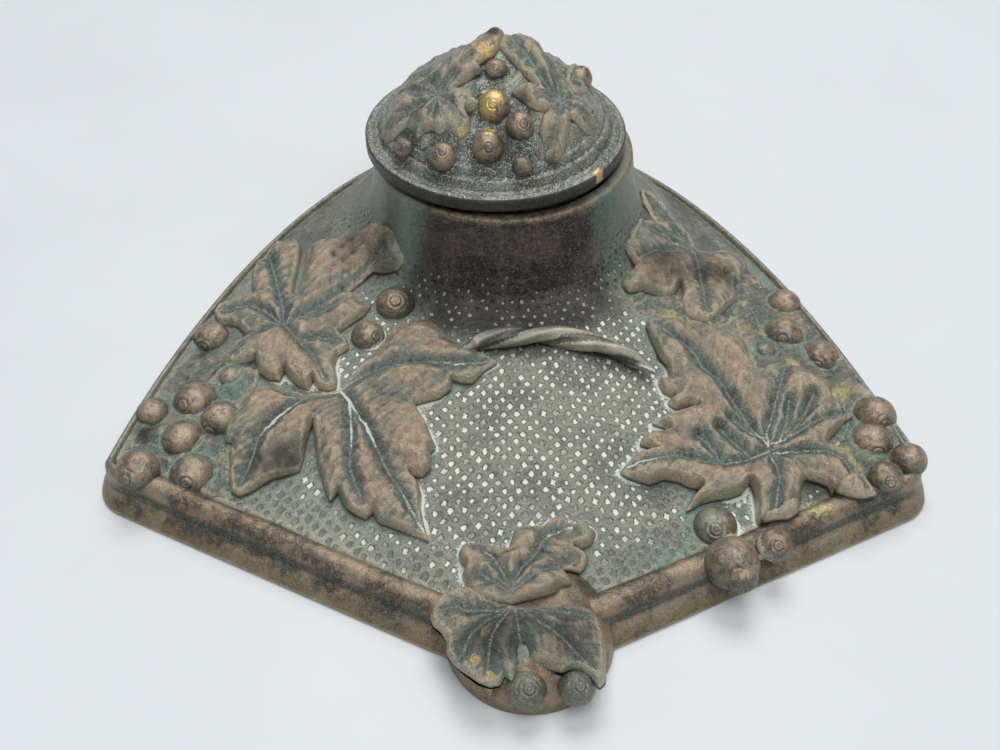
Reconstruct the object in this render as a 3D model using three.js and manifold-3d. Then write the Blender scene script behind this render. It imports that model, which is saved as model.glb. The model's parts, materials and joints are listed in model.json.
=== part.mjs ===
// Desk inkstand: a fan shaped bronze casting with vine leaves and grapes in
// relief, a collar that holds the ink pot, and a lid on a hinge behind it.
// Millimetres, +Z up. The origin is on the pot's axis at the table, and the
// blunt front corner of the fan points to -Y.
import * as THREE from "three";
import { mergeVertices } from "three/addons/utils/BufferGeometryUtils.js";
import Module from "manifold-3d";

const wasm = await Module();
wasm.setup();

// Plan of the base
const HALF_WIDTH = 90;
const FRONT_REACH = 131.5;
const BACK_REACH = 52.8;
const CORNER_RADIUS = 10;
const LEFT_EDGE_DEGREES = 62.65;
const RIGHT_EDGE_DEGREES = 65.5;
const SIDE_KNEE_SHARES = [0.9, 0.215];
const BACK_KNEE_SHARE = 0.57;

// Casting: border, ground and walls
const WALL = 3;
const BORDER_WIDTH = 9.4;
const SIDE_BORDER_WIDTH = 4.6;
const BORDER_HEIGHT = 8.5;
const GROUND_EDGE_HEIGHT = 6;
const FOOT_HEIGHT = 12.6;
const CASTING_LIFT = 0.4;

// Collar and the ink pot in it
const COLLAR_HEIGHT = 36;
const COLLAR_RADIUS = 32.4;
const FOOT_RADIUS = 44;
const MOUTH_RADIUS = 29;
const LEDGE_RADIUS = 26.4;
const LEDGE_DEPTH = 5;
const LEDGE_THICKNESS = 4;
const POT_WALL = 2.4;
const POT_DEPTH = 25;
const FLANGE_THICKNESS = 2;
const WASHER_THICKNESS = 0.8;

// Lid
const LID_RADIUS = 32.4;
const LID_SHIFT_LEFT = 2;
const LID_SHIFT_BACK = 1.8;
const LID_GAP = 1.2;
const LID_BAND = 3.4;
const DOME_HEIGHT = 20;
const DOME_SHIFT_BACK = 1.2;
const SPIGOT_WALL = 2;

// Hinge
const HINGE_GAP = 1.2;
const HINGE_AXIS_RISE = 1.6;
const HINGE_HALF_LENGTH = 7;
const KNUCKLE_RADIUS = 2.2;
const PIN_RADIUS = 0.9;
const LEAF_THICKNESS = 1.2;
const LEAF_DROP = 8;
const RIVET_RADIUS = 0.9;
const RIVET_HEAD_RADIUS = 1.6;
const RIVET_HEAD_HEIGHT = 0.7;
const RIVET_HALF_SPACING = 4.4;
const KNUCKLE_SHARE = 0.46;

// Underside
const BAIZE_THICKNESS = 1.2;
const PLATE_THICKNESS = 0.8;
const BOSS_RADIUS = 3.8;
const SCREW_RADIUS = 1.4;
const SCREW_LENGTH = 4;
const SCREW_HEAD_RADIUS = 2.6;

// Clearances
const SEAT_GAP = 0.2;
const FIT_GAP = 0.3;
const RUNNING_GAP = 0.2;
const OVERRUN = 1;

// Relief on the base
const LEAF_RISE = 4.4;
const RELIEF_SINK = 1.5;
const STEM_RADIUS = 2.1;
const CORNER_BOSS_RADIUS = 16.5;
const CORNER_BOSS_HEIGHT = 11.5;
const BOSS_SHIFT = 2.2;
const BOSS_SETBACK = 11.5;
const LEAF_CLIMB = 9;
const SUNK_SHARE = 0.25;
const STAND_SHARE = 0.15;

// Steps round curved outlines
const EDGE_STEPS = 10;
const CORNER_STEPS = 4;
const SIDE_STEPS = 13;
const ROUND_STEPS = 40;
const SMALL_ROUND_STEPS = 12;
const BOSS_ROUND_STEPS = 24;
const GRAPE_ROUND_STEPS = 9;
const GRAPE_RISE_STEPS = 6;
const STEM_STEPS = 12;
const STEM_ROUND_STEPS = 7;

// A leaf's rings, as shares of its reach and of its rise, and its middle's rise
const LEAF_RING_SHARES = [[1, 0.46], [0.8, 1], [0.36, 0.95]];
const LEAF_MIDDLE_SHARE = 0.6;

// Each leaf: its stalk joint in shares of the half width and front reach, its
// size in shares of the half width, its lift in shares of the leaves' rise, and
// its rim as degrees and shares of size.
const LEAVES = [
  {
    at_shares: [-0.428, -0.487], size_share: 0.49, lift_share: 1,
    rim_shares: [[14, 0.84], [7, 0.67], [1, 0.56], [-6, 0.41], [-22, 0.49], [-33, 0.61],
      [-44, 0.67], [-51, 0.64], [-56, 0.77], [-61, 0.97], [-71, 0.8], [-80, 0.68], [-89, 0.61],
      [-97, 0.48], [-111, 0.24], [-113, 0.46], [-122, 0.59], [-127, 0.71], [-144, 0.62],
      [-159, 0.56], [177, 0.49], [165, 0.39], [161, 0.23], [117, 0.08], [66, 0.25], [63, 0.35],
      [61, 0.51], [52, 0.65], [44, 0.68], [30, 0.69], [22, 0.75]],
  },
  {
    at_shares: [-0.594, -0.308], size_share: 0.44, lift_share: 1,
    rim_shares: [[88, 0.8], [85, 0.42], [82, 0.8], [69, 0.81], [57, 0.86], [44, 0.84], [31, 0.8],
      [28, 0.51], [15, 0.54], [2, 0.39], [-23, 0.41], [-41, 0.44], [-54, 0.62], [-68, 0.53],
      [-83, 0.43], [-105, 0.35], [-121, 0.32], [-145, 0.42], [-171, 0.24], [153, 0.51],
      [141, 0.54], [121, 0.44], [112, 0.78], [103, 0.95], [92, 0.92]],
  },
  {
    at_shares: [0.611, -0.616], size_share: 0.49, lift_share: 1,
    rim_shares: [[-170, 0.71], [-163, 0.59], [-151, 0.44], [-144, 0.54], [-134, 0.36],
      [-128, 0.2], [-107, 0.43], [-93, 0.4], [-79, 0.35], [-61, 0.26], [-45, 0.27], [-40, 0.43],
      [-28, 0.51], [-12, 0.43], [6, 0.34], [15, 0.32], [24, 0.52], [39, 0.52], [46, 0.64],
      [59, 0.65], [69, 0.63], [78, 0.54], [86, 0.47], [92, 0.7], [98, 0.86], [107, 0.91],
      [114, 0.98], [120, 0.97], [128, 0.74], [136, 0.63], [140, 0.43], [154, 0.47], [160, 0.57],
      [168, 0.51], [176, 0.61], [-178, 0.54]],
  },
  {
    at_shares: [0.544, -0.114], size_share: 0.31, lift_share: 0.85,
    rim_shares: [[110, 0.9], [101, 0.58], [93, 0.36], [63, 0.12], [27, 0.32], [19, 0.49],
      [4, 0.52], [-18, 0.34], [-60, 0.62], [-77, 0.81], [-92, 0.88], [-103, 0.83], [-111, 0.61],
      [-125, 0.75], [-142, 0.91], [-152, 0.65], [-163, 0.69], [168, 0.53], [136, 0.62],
      [119, 0.78]],
  },
  {
    at_shares: [-0.011, -0.905], size_share: 0.245, lift_share: 0.85,
    rim_shares: [[126, 0.78], [114, 0.79], [92, 0.61], [84, 0.87], [69, 1], [64, 1.09],
      [56, 1.06], [45, 1.12], [42, 0.93], [36, 0.84], [33, 0.57], [16, 0.57], [0, 0.23],
      [-90, 0.07], [164, 0.33], [142, 0.52]],
  },
  {
    at_shares: [0, -0.928], size_share: 0.245, lift_share: 0.65,
    rim_shares: [[148, 0.56], [165, 0.68], [175, 0.73], [-163, 0.6], [-143, 0.6], [-122, 0.62],
      [-110, 0.62], [-105, 0.52], [-90, 0.43], [-61, 0.57], [-44, 0.74], [-28, 0.77], [-2, 0.69],
      [7, 0.64], [129, 0.15]],
  },
  // Low foliage under the grapes at the left and at the right
  {
    at_shares: [-0.789, -0.502], size_share: 0.49, lift_share: 0.38,
    rim_shares: [[105, 0.54], [85, 0.5], [72, 0.36], [43, 0.4], [25, 0.32], [-22, 0.24],
      [-63, 0.51], [-87, 0.41], [-125, 0.36], [-148, 0.35], [151, 0.28]],
  },
  {
    at_shares: [0.778, -0.38], size_share: 0.49, lift_share: 0.4,
    rim_shares: [[118, 0.67], [102, 0.74], [90, 0.54], [74, 0.33], [14, 0.19], [-45, 0.38],
      [-62, 0.66], [-76, 0.86], [-78, 0.69], [-80, 0.37], [-135, 0.13], [-171, 0.3],
      [146, 0.41]],
  },
];

// Grapes: centre in shares of the half width and front reach, radius in shares
// of the half width.
const GRAPE_SHARES = [
  [-0.794, -0.297, 0.05], [-0.792, -0.468, 0.052], [-0.722, -0.513, 0.044], [-0.806, -0.551, 0.047],
  [-0.761, -0.624, 0.052], [-0.722, -0.414, 0.029], [-0.3, -0.262, 0.052],
  [-0.372, -0.335, 0.043], [0.767, -0.221, 0.04], [0.739, -0.319, 0.051], [0.822, -0.369, 0.044],
  [0.672, -0.369, 0.028],
];
// Grapes at the side corners: centre from the corner's centre, and radius, in
// shares of the half width.
const LEFT_CORNER_GRAPE_SHARES = [[-0.008, 0.177, 0.036], [0.006, -0.04, 0.051]];
const RIGHT_CORNER_GRAPE_SHARES = [
  [0.033, 0.178, 0.047], [-0.006, 0.083, 0.052], [0.056, 0.017, 0.043], [-0.011, -0.044, 0.042],
];
// Grapes on the front right border: share of the way from the front corner to
// the side corner, inset in shares of the border, radius in shares of the half
// width.
const BORDER_GRAPE_SHARES = [[0.553, 1.43, 0.05], [0.507, 0.18, 0.065], [0.628, 0.34, 0.039]];
// Grapes of the corner ornament: centre from its centre in shares of its
// radius, radius in shares of the half width.
const BOSS_GRAPE_SHARES = [[-0.03, -0.86, 0.044], [0.43, -0.86, 0.036]];

// Stem on the ground in front of the collar, in shares of half width and reach
const STEM_SHARES = [
  [-0.12, -0.38], [0, -0.36], [0.13, -0.364], [0.25, -0.387], [0.38, -0.445],
];

// Lid relief, in shares of the lid's radius
const LID_LEAVES = [
  {
    at_shares: [-0.435, -0.25], size_share: 0.62, lift_share: 0.8,
    rim_shares: [[-175, 0.75], [-150, 0.45], [-110, 0.4], [-85, 0.3], [-50, 0.6], [-25, 0.4],
      [25, 0.7], [55, 0.5], [100, 0.7], [140, 0.55]],
  },
  {
    at_shares: [0.485, -0.33], size_share: 0.62, lift_share: 0.8,
    rim_shares: [[138, 1], [160, 0.6], [178, 0.72], [-140, 0.35], [-103, 0.55], [-60, 0.4],
      [-40, 0.35], [10, 0.5], [50, 0.8], [80, 0.55], [110, 0.7]],
  },
  {
    at_shares: [0.03, 0.42], size_share: 0.6, lift_share: 0.8,
    rim_shares: [[90, 0.8], [60, 0.5], [30, 0.8], [0, 0.45], [-90, 0.5], [180, 0.45],
      [150, 0.8], [120, 0.5]],
  },
];
const LID_GRAPE_SHARES = [
  [-0.02, -0.195, 0.078], [-0.015, -0.472, 0.118], [0.176, -0.586, 0.1], [-0.062, -0.72, 0.105],
  [-0.386, -0.704, 0.1], [-0.68, -0.488, 0.07], [0.17, -0.79, 0.07], [0.67, 0.5, 0.1],
];

// Dome in shares of the lid's radius and the dome's height
const DOME_SHARES = [[0, 1], [0.32, 0.85], [0.54, 0.63], [0.7, 0.44], [0.8, 0.24], [0.9, 0.06]];
// Outside of the collar in shares from mouth to foot and from foot to mouth
const COLLAR_SHARES = [[1, 0], [0.62, 0.06], [0.37, 0.18], [0.19, 0.4], [0.08, 0.66], [0, 0.96]];
// Border in shares of its width and height
const BORDER_SHARES = [[0.04, 0.18], [0.33, 0.5], [0.36, 0.66], [0.48, 0.91], [0.66, 1], [0.88, 0.9]];
const GROUND_SHARES = [0.25, 0.5, 0.75];
// Quarter circle of the corner ornament, in shares of a right angle
const BOSS_TURN_SHARES = [0, 0.2, 0.4, 0.6, 0.8];
// Screws under the base, in shares of the half width and front reach
const SCREW_SHARES = [[-0.62, -0.58], [0.62, -0.58], [-0.5, -0.06], [0.5, -0.06], [0, -0.78]];

// Derived sizes
const LEDGE_HEIGHT = COLLAR_HEIGHT - LEDGE_DEPTH;
const HINGE_AXIS_Y = Math.max(COLLAR_RADIUS, LID_RADIUS + LID_SHIFT_BACK) + HINGE_GAP + KNUCKLE_RADIUS;
const RECESS_TOP = BAIZE_THICKNESS + PLATE_THICKNESS + 2 * SEAT_GAP;
const LID_BOTTOM = COLLAR_HEIGHT + LID_GAP;
const LID_TOP = LID_BOTTOM + LID_BAND;
const HINGE_AXIS_Z = LID_BOTTOM + HINGE_AXIS_RISE - LEAF_THICKNESS;
const PAD_Y = COLLAR_RADIUS - FIT_GAP;
const PAD_BOTTOM = COLLAR_HEIGHT - LEAF_DROP - FIT_GAP;
const FLANGE_RADIUS = MOUTH_RADIUS - 2 * FIT_GAP;
const POT_RADIUS = LEDGE_RADIUS - 2 * FIT_GAP;
const FLANGE_BOTTOM = LEDGE_HEIGHT + WASHER_THICKNESS + 2 * SEAT_GAP;
const FLANGE_TOP = FLANGE_BOTTOM + FLANGE_THICKNESS;
const SPIGOT_BOTTOM = FLANGE_TOP + 2 * FIT_GAP;
const SPIGOT_RADIUS = MOUTH_RADIUS - 2 * FIT_GAP;
const SPIGOT_INSIDE = SPIGOT_RADIUS + FIT_GAP - SPIGOT_WALL;
const LID_RIVET_Y = MOUTH_RADIUS - SPIGOT_WALL - RIVET_HEAD_RADIUS;
const LID_LEAF_FRONT = LID_RIVET_Y - RIVET_HEAD_RADIUS;
const COLLAR_RIVET_Z = COLLAR_HEIGHT - LEAF_DROP + RIVET_HEAD_RADIUS + FIT_GAP;

const BOSS_X = BOSS_SHIFT;
const BOSS_Y = BOSS_SETBACK - FRONT_REACH;

const radians = THREE.MathUtils.degToRad;
const mix = THREE.MathUtils.lerp;

// Solids and booleans

function indexed(positions, triangles) {
  const geometry = new THREE.BufferGeometry();
  geometry.setAttribute("position", new THREE.Float32BufferAttribute(positions, 3));
  geometry.setIndex(triangles);
  return geometry;
}

function solid(geometry) {
  const bare = geometry.clone();
  bare.deleteAttribute("normal");
  bare.deleteAttribute("uv");
  const merged = mergeVertices(bare);
  const vertProperties = new Float32Array(merged.attributes.position.array);
  const triVerts = new Uint32Array(merged.index.array);
  return new wasm.Manifold(new wasm.Mesh({ numProp: 3, vertProperties, triVerts }));
}

function geometryOf(manifold) {
  const mesh = manifold.getMesh();
  return indexed(Array.from(mesh.vertProperties), Array.from(mesh.triVerts));
}

function joined(first, others) {
  return others.reduce((sum, next) => sum.add(next), first);
}

function cut(first, others) {
  return others.reduce((rest, next) => rest.subtract(next), first);
}

function box(low, high) {
  const size = high.map((value, k) => value - low[k]);
  const geometry = new THREE.BoxGeometry(...size);
  geometry.translate(...low.map((value, k) => value + size[k] / 2));
  return solid(geometry);
}

// A turned solid about Z through (x, y), from [radius, height] pairs that
// start and end on the axis, the lowest first.
function turned(profile, x, y, steps) {
  const points = profile.map(([radius, height]) => new THREE.Vector2(radius, height));
  const geometry = new THREE.LatheGeometry(points, steps);
  geometry.rotateX(Math.PI / 2);
  geometry.translate(x, y, 0);
  return solid(geometry);
}

function rod(radius, low, high, x, y, steps) {
  return turned([[0, low], [radius, low], [radius, high], [0, high]], x, y, steps);
}

function alongX(radius, low, high, y, z) {
  const geometry = new THREE.CylinderGeometry(radius, radius, high - low, SMALL_ROUND_STEPS);
  geometry.rotateZ(-Math.PI / 2);
  geometry.translate((low + high) / 2, y, z);
  return solid(geometry);
}

function alongY(radius, low, high, x, z) {
  const geometry = new THREE.CylinderGeometry(radius, radius, high - low, SMALL_ROUND_STEPS);
  geometry.translate(x, (low + high) / 2, z);
  return solid(geometry);
}

function ball(radius, x, y, z) {
  const geometry = new THREE.SphereGeometry(radius, GRAPE_ROUND_STEPS, GRAPE_RISE_STEPS);
  geometry.rotateX(Math.PI / 2);
  geometry.translate(x, y, z);
  return solid(geometry);
}

// A closed skin over rings of equal count, given from the lowest ring up, with
// a flat fan over the first and the last ring.
function lofted(rings) {
  const count = rings[0].length;
  const positions = rings.flat(2);
  const triangles = [];
  for (let ring = 0; ring < rings.length - 1; ring++) {
    for (let k = 0; k < count; k++) {
      const a = ring * count + k;
      const b = ring * count + ((k + 1) % count);
      triangles.push(a, b, b + count, a, b + count, a + count);
    }
  }
  const top = (rings.length - 1) * count;
  const centres = [rings[0], rings[rings.length - 1]].map((ring) => ring[0][2]);
  positions.push(0, 0, centres[0], 0, 0, centres[1]);
  for (let k = 0; k < count; k++) {
    const next = (k + 1) % count;
    triangles.push(rings.length * count, next, k);
    triangles.push(rings.length * count + 1, top + k, top + next);
  }
  return solid(indexed(positions, triangles));
}

// Plan outline of the fan, counter clockwise, with each point's border width

function edgeEnd(degrees) {
  const lean = radians(degrees);
  const run = (HALF_WIDTH - CORNER_RADIUS + CORNER_RADIUS * Math.cos(lean)) / Math.sin(lean);
  const centreY = -FRONT_REACH + run * Math.cos(lean) + CORNER_RADIUS * Math.sin(lean);
  return { lean, run, centreY };
}

function halfOutline(degrees) {
  const { lean, run, centreY } = edgeEnd(degrees);
  const points = [];
  for (let k = 0; k < EDGE_STEPS; k++) {
    const s = (run * (k + 0.5)) / EDGE_STEPS;
    points.push([s * Math.sin(lean), -FRONT_REACH + s * Math.cos(lean), BORDER_WIDTH]);
  }
  for (let k = 0; k < CORNER_STEPS; k++) {
    const turn = mix(-lean, 0, k / CORNER_STEPS);
    const width = mix(BORDER_WIDTH, SIDE_BORDER_WIDTH, k / CORNER_STEPS);
    const x = HALF_WIDTH - CORNER_RADIUS + CORNER_RADIUS * Math.cos(turn);
    points.push([x, centreY + CORNER_RADIUS * Math.sin(turn), width]);
  }
  const knee = new THREE.Vector2(HALF_WIDTH * SIDE_KNEE_SHARES[0], -FRONT_REACH * SIDE_KNEE_SHARES[1]);
  const side = new THREE.CubicBezierCurve(
    new THREE.Vector2(HALF_WIDTH, centreY), knee,
    new THREE.Vector2(HALF_WIDTH * BACK_KNEE_SHARE, BACK_REACH), new THREE.Vector2(0, BACK_REACH));
  const sidePoints = side.getSpacedPoints(SIDE_STEPS);
  return points.concat(sidePoints.map((point) => [point.x, point.y, SIDE_BORDER_WIDTH]));
}

function fanOutline() {
  const right = halfOutline(RIGHT_EDGE_DEGREES);
  const left = halfOutline(LEFT_EDGE_DEGREES).slice(0, -1).reverse();
  const points = right.concat(left.map(([x, y, width]) => [-x, y, width]));
  return points.map(([x, y, width], k) => {
    const before = points[(k + points.length - 1) % points.length];
    const after = points[(k + 1) % points.length];
    const along = new THREE.Vector2(after[0] - before[0], after[1] - before[1]).normalize();
    return { x, y, width, inward: [-along.y, along.x] };
  });
}

const OUTLINE = fanOutline();

function insetRing(insetOf, z) {
  return OUTLINE.map((point) => {
    const inset = insetOf(point.width);
    return [point.x + point.inward[0] * inset, point.y + point.inward[1] * inset, z];
  });
}

// A ring between the inner line of the border and the circle of a radius
function radialRing(share, radius, z) {
  return insetRing((width) => width, z).map(([x, y]) => {
    const reach = Math.hypot(x, y);
    const scale = mix(reach, radius, share) / reach;
    return [x * scale, y * scale, z];
  });
}

function groundRing(share, drop) {
  return radialRing(share, FOOT_RADIUS, mix(GROUND_EDGE_HEIGHT, FOOT_HEIGHT, share) - drop);
}

function collarPoints() {
  return COLLAR_SHARES.map(([out, up]) =>
    [mix(COLLAR_RADIUS, FOOT_RADIUS, out), mix(FOOT_HEIGHT, COLLAR_HEIGHT, up)]);
}

// Height of the plain casting at a point of its plan

const BORDER_RING = insetRing((width) => width, 0);

function wrapped(turn) {
  return Math.atan2(Math.sin(turn), Math.cos(turn));
}

// Distance from the pot's axis to the border's inner line, towards (x, y)
function borderReach(x, y) {
  const turn = Math.atan2(y, x);
  let best = BORDER_RING[0];
  let after = BORDER_RING[1];
  BORDER_RING.forEach((point, k) => {
    const next = BORDER_RING[(k + 1) % BORDER_RING.length];
    const start = Math.atan2(point[1], point[0]);
    const span = wrapped(Math.atan2(next[1], next[0]) - start);
    const offset = wrapped(turn - start);
    if (offset >= 0 && offset < span) [best, after] = [point, next];
  });
  const [dx, dy] = [after[0] - best[0], after[1] - best[1]];
  const across = Math.cos(turn) * dy - Math.sin(turn) * dx;
  return (best[0] * dy - best[1] * dx) / across;
}

function topHeight(x, y) {
  const radius = Math.hypot(x, y);
  const reach = borderReach(x, y);
  if (radius >= reach) return BORDER_HEIGHT;
  if (radius >= FOOT_RADIUS) {
    return mix(GROUND_EDGE_HEIGHT, FOOT_HEIGHT, (reach - radius) / (reach - FOOT_RADIUS));
  }
  const points = collarPoints();
  const k = points.findIndex(([out], index) => index > 0 && out <= radius);
  if (k < 0) return COLLAR_HEIGHT;
  const [[outer, low], [inner, high]] = [points[k - 1], points[k]];
  return mix(low, high, (outer - radius) / (outer - inner));
}

// Relief: leaves, grapes and the stem

function bossHeight(x, y) {
  const out = Math.hypot(x - BOSS_X, y - BOSS_Y) / CORNER_BOSS_RADIUS;
  return out < 1 ? CASTING_LIFT + (CORNER_BOSS_HEIGHT - CASTING_LIFT) * Math.sqrt(1 - out * out) : 0;
}

// What the leaves and grapes lie on; a leaf climbs only the collar's foot
function reliefHeight(x, y) {
  return Math.min(Math.max(topHeight(x, y), bossHeight(x, y)), FOOT_HEIGHT + LEAF_CLIMB);
}

function leafSolid(leaf, unitX, unitY, unitSize, heightAt, low) {
  const [x0, y0] = [leaf.at_shares[0] * unitX, leaf.at_shares[1] * unitY];
  const [size, rise] = [leaf.size_share * unitSize, leaf.lift_share * LEAF_RISE];
  const turns = [...leaf.rim_shares].sort((a, b) => a[0] - b[0]);
  const ring = (share, heightOf) => turns.map(([degrees, reach]) => {
    const x = x0 + Math.cos(radians(degrees)) * reach * size * share;
    const y = y0 + Math.sin(radians(degrees)) * reach * size * share;
    return [x, y, heightOf(x, y)];
  });
  const tops = LEAF_RING_SHARES.map(([share, up]) => ring(share, (x, y) => heightAt(x, y) + rise * up));
  const rings = [ring(1, () => low), ...tops];
  const positions = rings.flat(2);
  positions.push(x0, y0, low, x0, y0, heightAt(x0, y0) + rise * LEAF_MIDDLE_SHARE);
  const count = turns.length;
  const triangles = [];
  for (let k = 0; k < count; k++) {
    const next = (k + 1) % count;
    for (let start = 0; start < tops.length * count; start += count) {
      triangles.push(start + k, start + next, start + count + next);
      triangles.push(start + k, start + count + next, start + count + k);
    }
    const top = tops.length * count;
    triangles.push(top + count, next, k);
    triangles.push(top + count + 1, top + k, top + next);
  }
  return solid(indexed(positions, triangles));
}

function baseLeaves() {
  const low = GROUND_EDGE_HEIGHT - RELIEF_SINK;
  return LEAVES.map((leaf) => leafSolid(leaf, HALF_WIDTH, FRONT_REACH, HALF_WIDTH, reliefHeight, low));
}

function cornerGrapes(degrees, side, shares) {
  const [x0, y0] = [side * (HALF_WIDTH - CORNER_RADIUS), edgeEnd(degrees).centreY];
  return shares.map(([across, back, share]) => [x0 + across * HALF_WIDTH, y0 + back * HALF_WIDTH, share]);
}

function borderGrapes() {
  const { lean, run } = edgeEnd(RIGHT_EDGE_DEGREES);
  return BORDER_GRAPE_SHARES.map(([along, inset, share]) => {
    const [way, inward] = [along * run, inset * BORDER_WIDTH];
    const x = way * Math.sin(lean) - inward * Math.cos(lean);
    return [x, -FRONT_REACH + way * Math.cos(lean) + inward * Math.sin(lean), share];
  });
}

function bossGrapes() {
  return BOSS_GRAPE_SHARES.map(([across, back, share]) =>
    [BOSS_X + across * CORNER_BOSS_RADIUS, BOSS_Y + back * CORNER_BOSS_RADIUS, share, -SUNK_SHARE]);
}

function grapePlaces() {
  return [
    ...GRAPE_SHARES.map(([across, forward, share]) => [across * HALF_WIDTH, forward * FRONT_REACH, share]),
    ...cornerGrapes(LEFT_EDGE_DEGREES, -1, LEFT_CORNER_GRAPE_SHARES),
    ...cornerGrapes(RIGHT_EDGE_DEGREES, 1, RIGHT_CORNER_GRAPE_SHARES),
    ...borderGrapes(),
    ...bossGrapes(),
  ];
}

function baseGrapes() {
  return grapePlaces().map(([x, y, share, stand = STAND_SHARE]) => {
    const radius = share * HALF_WIDTH;
    const lowest = CASTING_LIFT + radius;
    return ball(radius, x, y, Math.max(reliefHeight(x, y) + radius * stand, lowest));
  });
}

function stemSolid() {
  const points = STEM_SHARES.map(([across, forward]) => {
    const [x, y] = [across * HALF_WIDTH, forward * FRONT_REACH];
    return new THREE.Vector3(x, y, topHeight(x, y) + STEM_RADIUS * SUNK_SHARE);
  });
  const section = new THREE.Shape();
  section.absarc(0, 0, STEM_RADIUS, 0, 2 * Math.PI);
  return solid(new THREE.ExtrudeGeometry(section, {
    extrudePath: new THREE.CatmullRomCurve3(points),
    steps: STEM_STEPS,
    curveSegments: STEM_ROUND_STEPS,
    bevelEnabled: false,
  }));
}

function cornerBoss() {
  const rise = CORNER_BOSS_HEIGHT - CASTING_LIFT;
  const profile = BOSS_TURN_SHARES.map((share) => {
    const turn = (share * Math.PI) / 2;
    return [CORNER_BOSS_RADIUS * Math.cos(turn), CASTING_LIFT + rise * Math.sin(turn)];
  });
  const ends = [[0, CASTING_LIFT], [0, CORNER_BOSS_HEIGHT]];
  return turned([ends[0], ...profile, ends[1]], BOSS_X, BOSS_Y, BOSS_ROUND_STEPS);
}

// Base casting

function outerSkin() {
  const rings = [insetRing(() => 0, CASTING_LIFT)];
  for (const [inset, height] of BORDER_SHARES) {
    rings.push(insetRing((width) => width * inset, BORDER_HEIGHT * height));
  }
  rings.push(groundRing(0, 0));
  for (const share of GROUND_SHARES) rings.push(groundRing(share, 0));
  for (const [radius, z] of collarPoints()) rings.push(radialRing(1, radius, z));
  const chamfer = (COLLAR_HEIGHT - FOOT_HEIGHT) * (1 - COLLAR_SHARES[COLLAR_SHARES.length - 1][1]);
  rings.push(radialRing(1, COLLAR_RADIUS - chamfer, COLLAR_HEIGHT));
  return lofted(rings);
}

function underHollow() {
  const wallInset = (width) => width * BORDER_SHARES[1][0] + WALL;
  const rings = [
    insetRing(wallInset, -OVERRUN),
    insetRing(wallInset, GROUND_EDGE_HEIGHT - WALL),
  ];
  for (const share of GROUND_SHARES) rings.push(groundRing(share, WALL));
  for (const [radius, z] of collarPoints().slice(0, -2)) {
    rings.push(radialRing(1, radius - WALL, z - WALL / 2));
  }
  rings.push(radialRing(1, COLLAR_RADIUS - WALL, LEDGE_HEIGHT - LEDGE_THICKNESS));
  return lofted(rings);
}

function potBore() {
  const high = COLLAR_HEIGHT + OVERRUN;
  return turned([
    [0, FOOT_HEIGHT], [LEDGE_RADIUS, FOOT_HEIGHT], [LEDGE_RADIUS, LEDGE_HEIGHT],
    [MOUTH_RADIUS, LEDGE_HEIGHT], [MOUTH_RADIUS, high], [0, high]], 0, 0, ROUND_STEPS);
}

function screwPlaces() {
  return SCREW_SHARES.map(([across, forward]) => [across * HALF_WIDTH, forward * FRONT_REACH]);
}

function screwBosses() {
  return screwPlaces().map(([x, y]) =>
    rod(BOSS_RADIUS, RECESS_TOP, topHeight(x, y) - WALL / 2, x, y, SMALL_ROUND_STEPS));
}

function screwHoles() {
  const low = RECESS_TOP - OVERRUN;
  return screwPlaces().map(([x, y]) =>
    rod(SCREW_RADIUS + FIT_GAP, low, RECESS_TOP + SCREW_LENGTH + FIT_GAP, x, y, SMALL_ROUND_STEPS));
}

function rivetHoles() {
  const high = PAD_Y + SEAT_GAP + LEAF_THICKNESS + OVERRUN;
  return [-1, 1].map((side) =>
    alongY(RIVET_RADIUS + RUNNING_GAP, PAD_Y - WALL, high, side * RIVET_HALF_SPACING, COLLAR_RIVET_Z));
}

function hingePad() {
  const half = HINGE_HALF_LENGTH + 2 * FIT_GAP;
  return box([-half, PAD_Y, PAD_BOTTOM], [half, PAD_Y + FOOT_RADIUS, COLLAR_HEIGHT + OVERRUN]);
}

function baseCasting() {
  const relief = [...baseLeaves(), ...baseGrapes(), stemSolid(), cornerBoss()];
  const filled = joined(outerSkin(), relief);
  const shell = cut(filled, [underHollow()]);
  const bossed = joined(shell, screwBosses());
  return cut(bossed, [potBore(), hingePad(), ...screwHoles(), ...rivetHoles()]);
}

// Ink pot and its washer

function inkPot() {
  const bottom = FLANGE_TOP - POT_DEPTH;
  const inner = POT_RADIUS - POT_WALL;
  return turned([
    [0, bottom], [POT_RADIUS - POT_WALL, bottom], [POT_RADIUS, bottom + POT_WALL],
    [POT_RADIUS, FLANGE_BOTTOM], [FLANGE_RADIUS, FLANGE_BOTTOM], [FLANGE_RADIUS, FLANGE_TOP],
    [inner, FLANGE_TOP], [inner, bottom + 2 * POT_WALL], [inner - POT_WALL, bottom + POT_WALL],
    [0, bottom + POT_WALL]], 0, 0, ROUND_STEPS);
}

function ringOf(inner, outer, low, high) {
  const ring = rod(outer, low, high, 0, 0, ROUND_STEPS);
  return ring.subtract(rod(inner, low - OVERRUN, high + OVERRUN, 0, 0, ROUND_STEPS));
}

function potWasher() {
  const low = LEDGE_HEIGHT + SEAT_GAP;
  return ringOf(LEDGE_RADIUS, FLANGE_RADIUS, low, low + WASHER_THICKNESS);
}

// Lid

function domeHeight(x, y) {
  const out = Math.hypot(x + LID_SHIFT_LEFT, y - LID_SHIFT_BACK - DOME_SHIFT_BACK) / LID_RADIUS;
  const k = DOME_SHARES.findIndex(([share]) => share > out);
  if (k < 0) return LID_TOP;
  const [[inner, high], [outer, low]] = [DOME_SHARES[k - 1], DOME_SHARES[k]];
  return LID_TOP + DOME_HEIGHT * mix(high, low, (out - inner) / (outer - inner));
}

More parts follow.
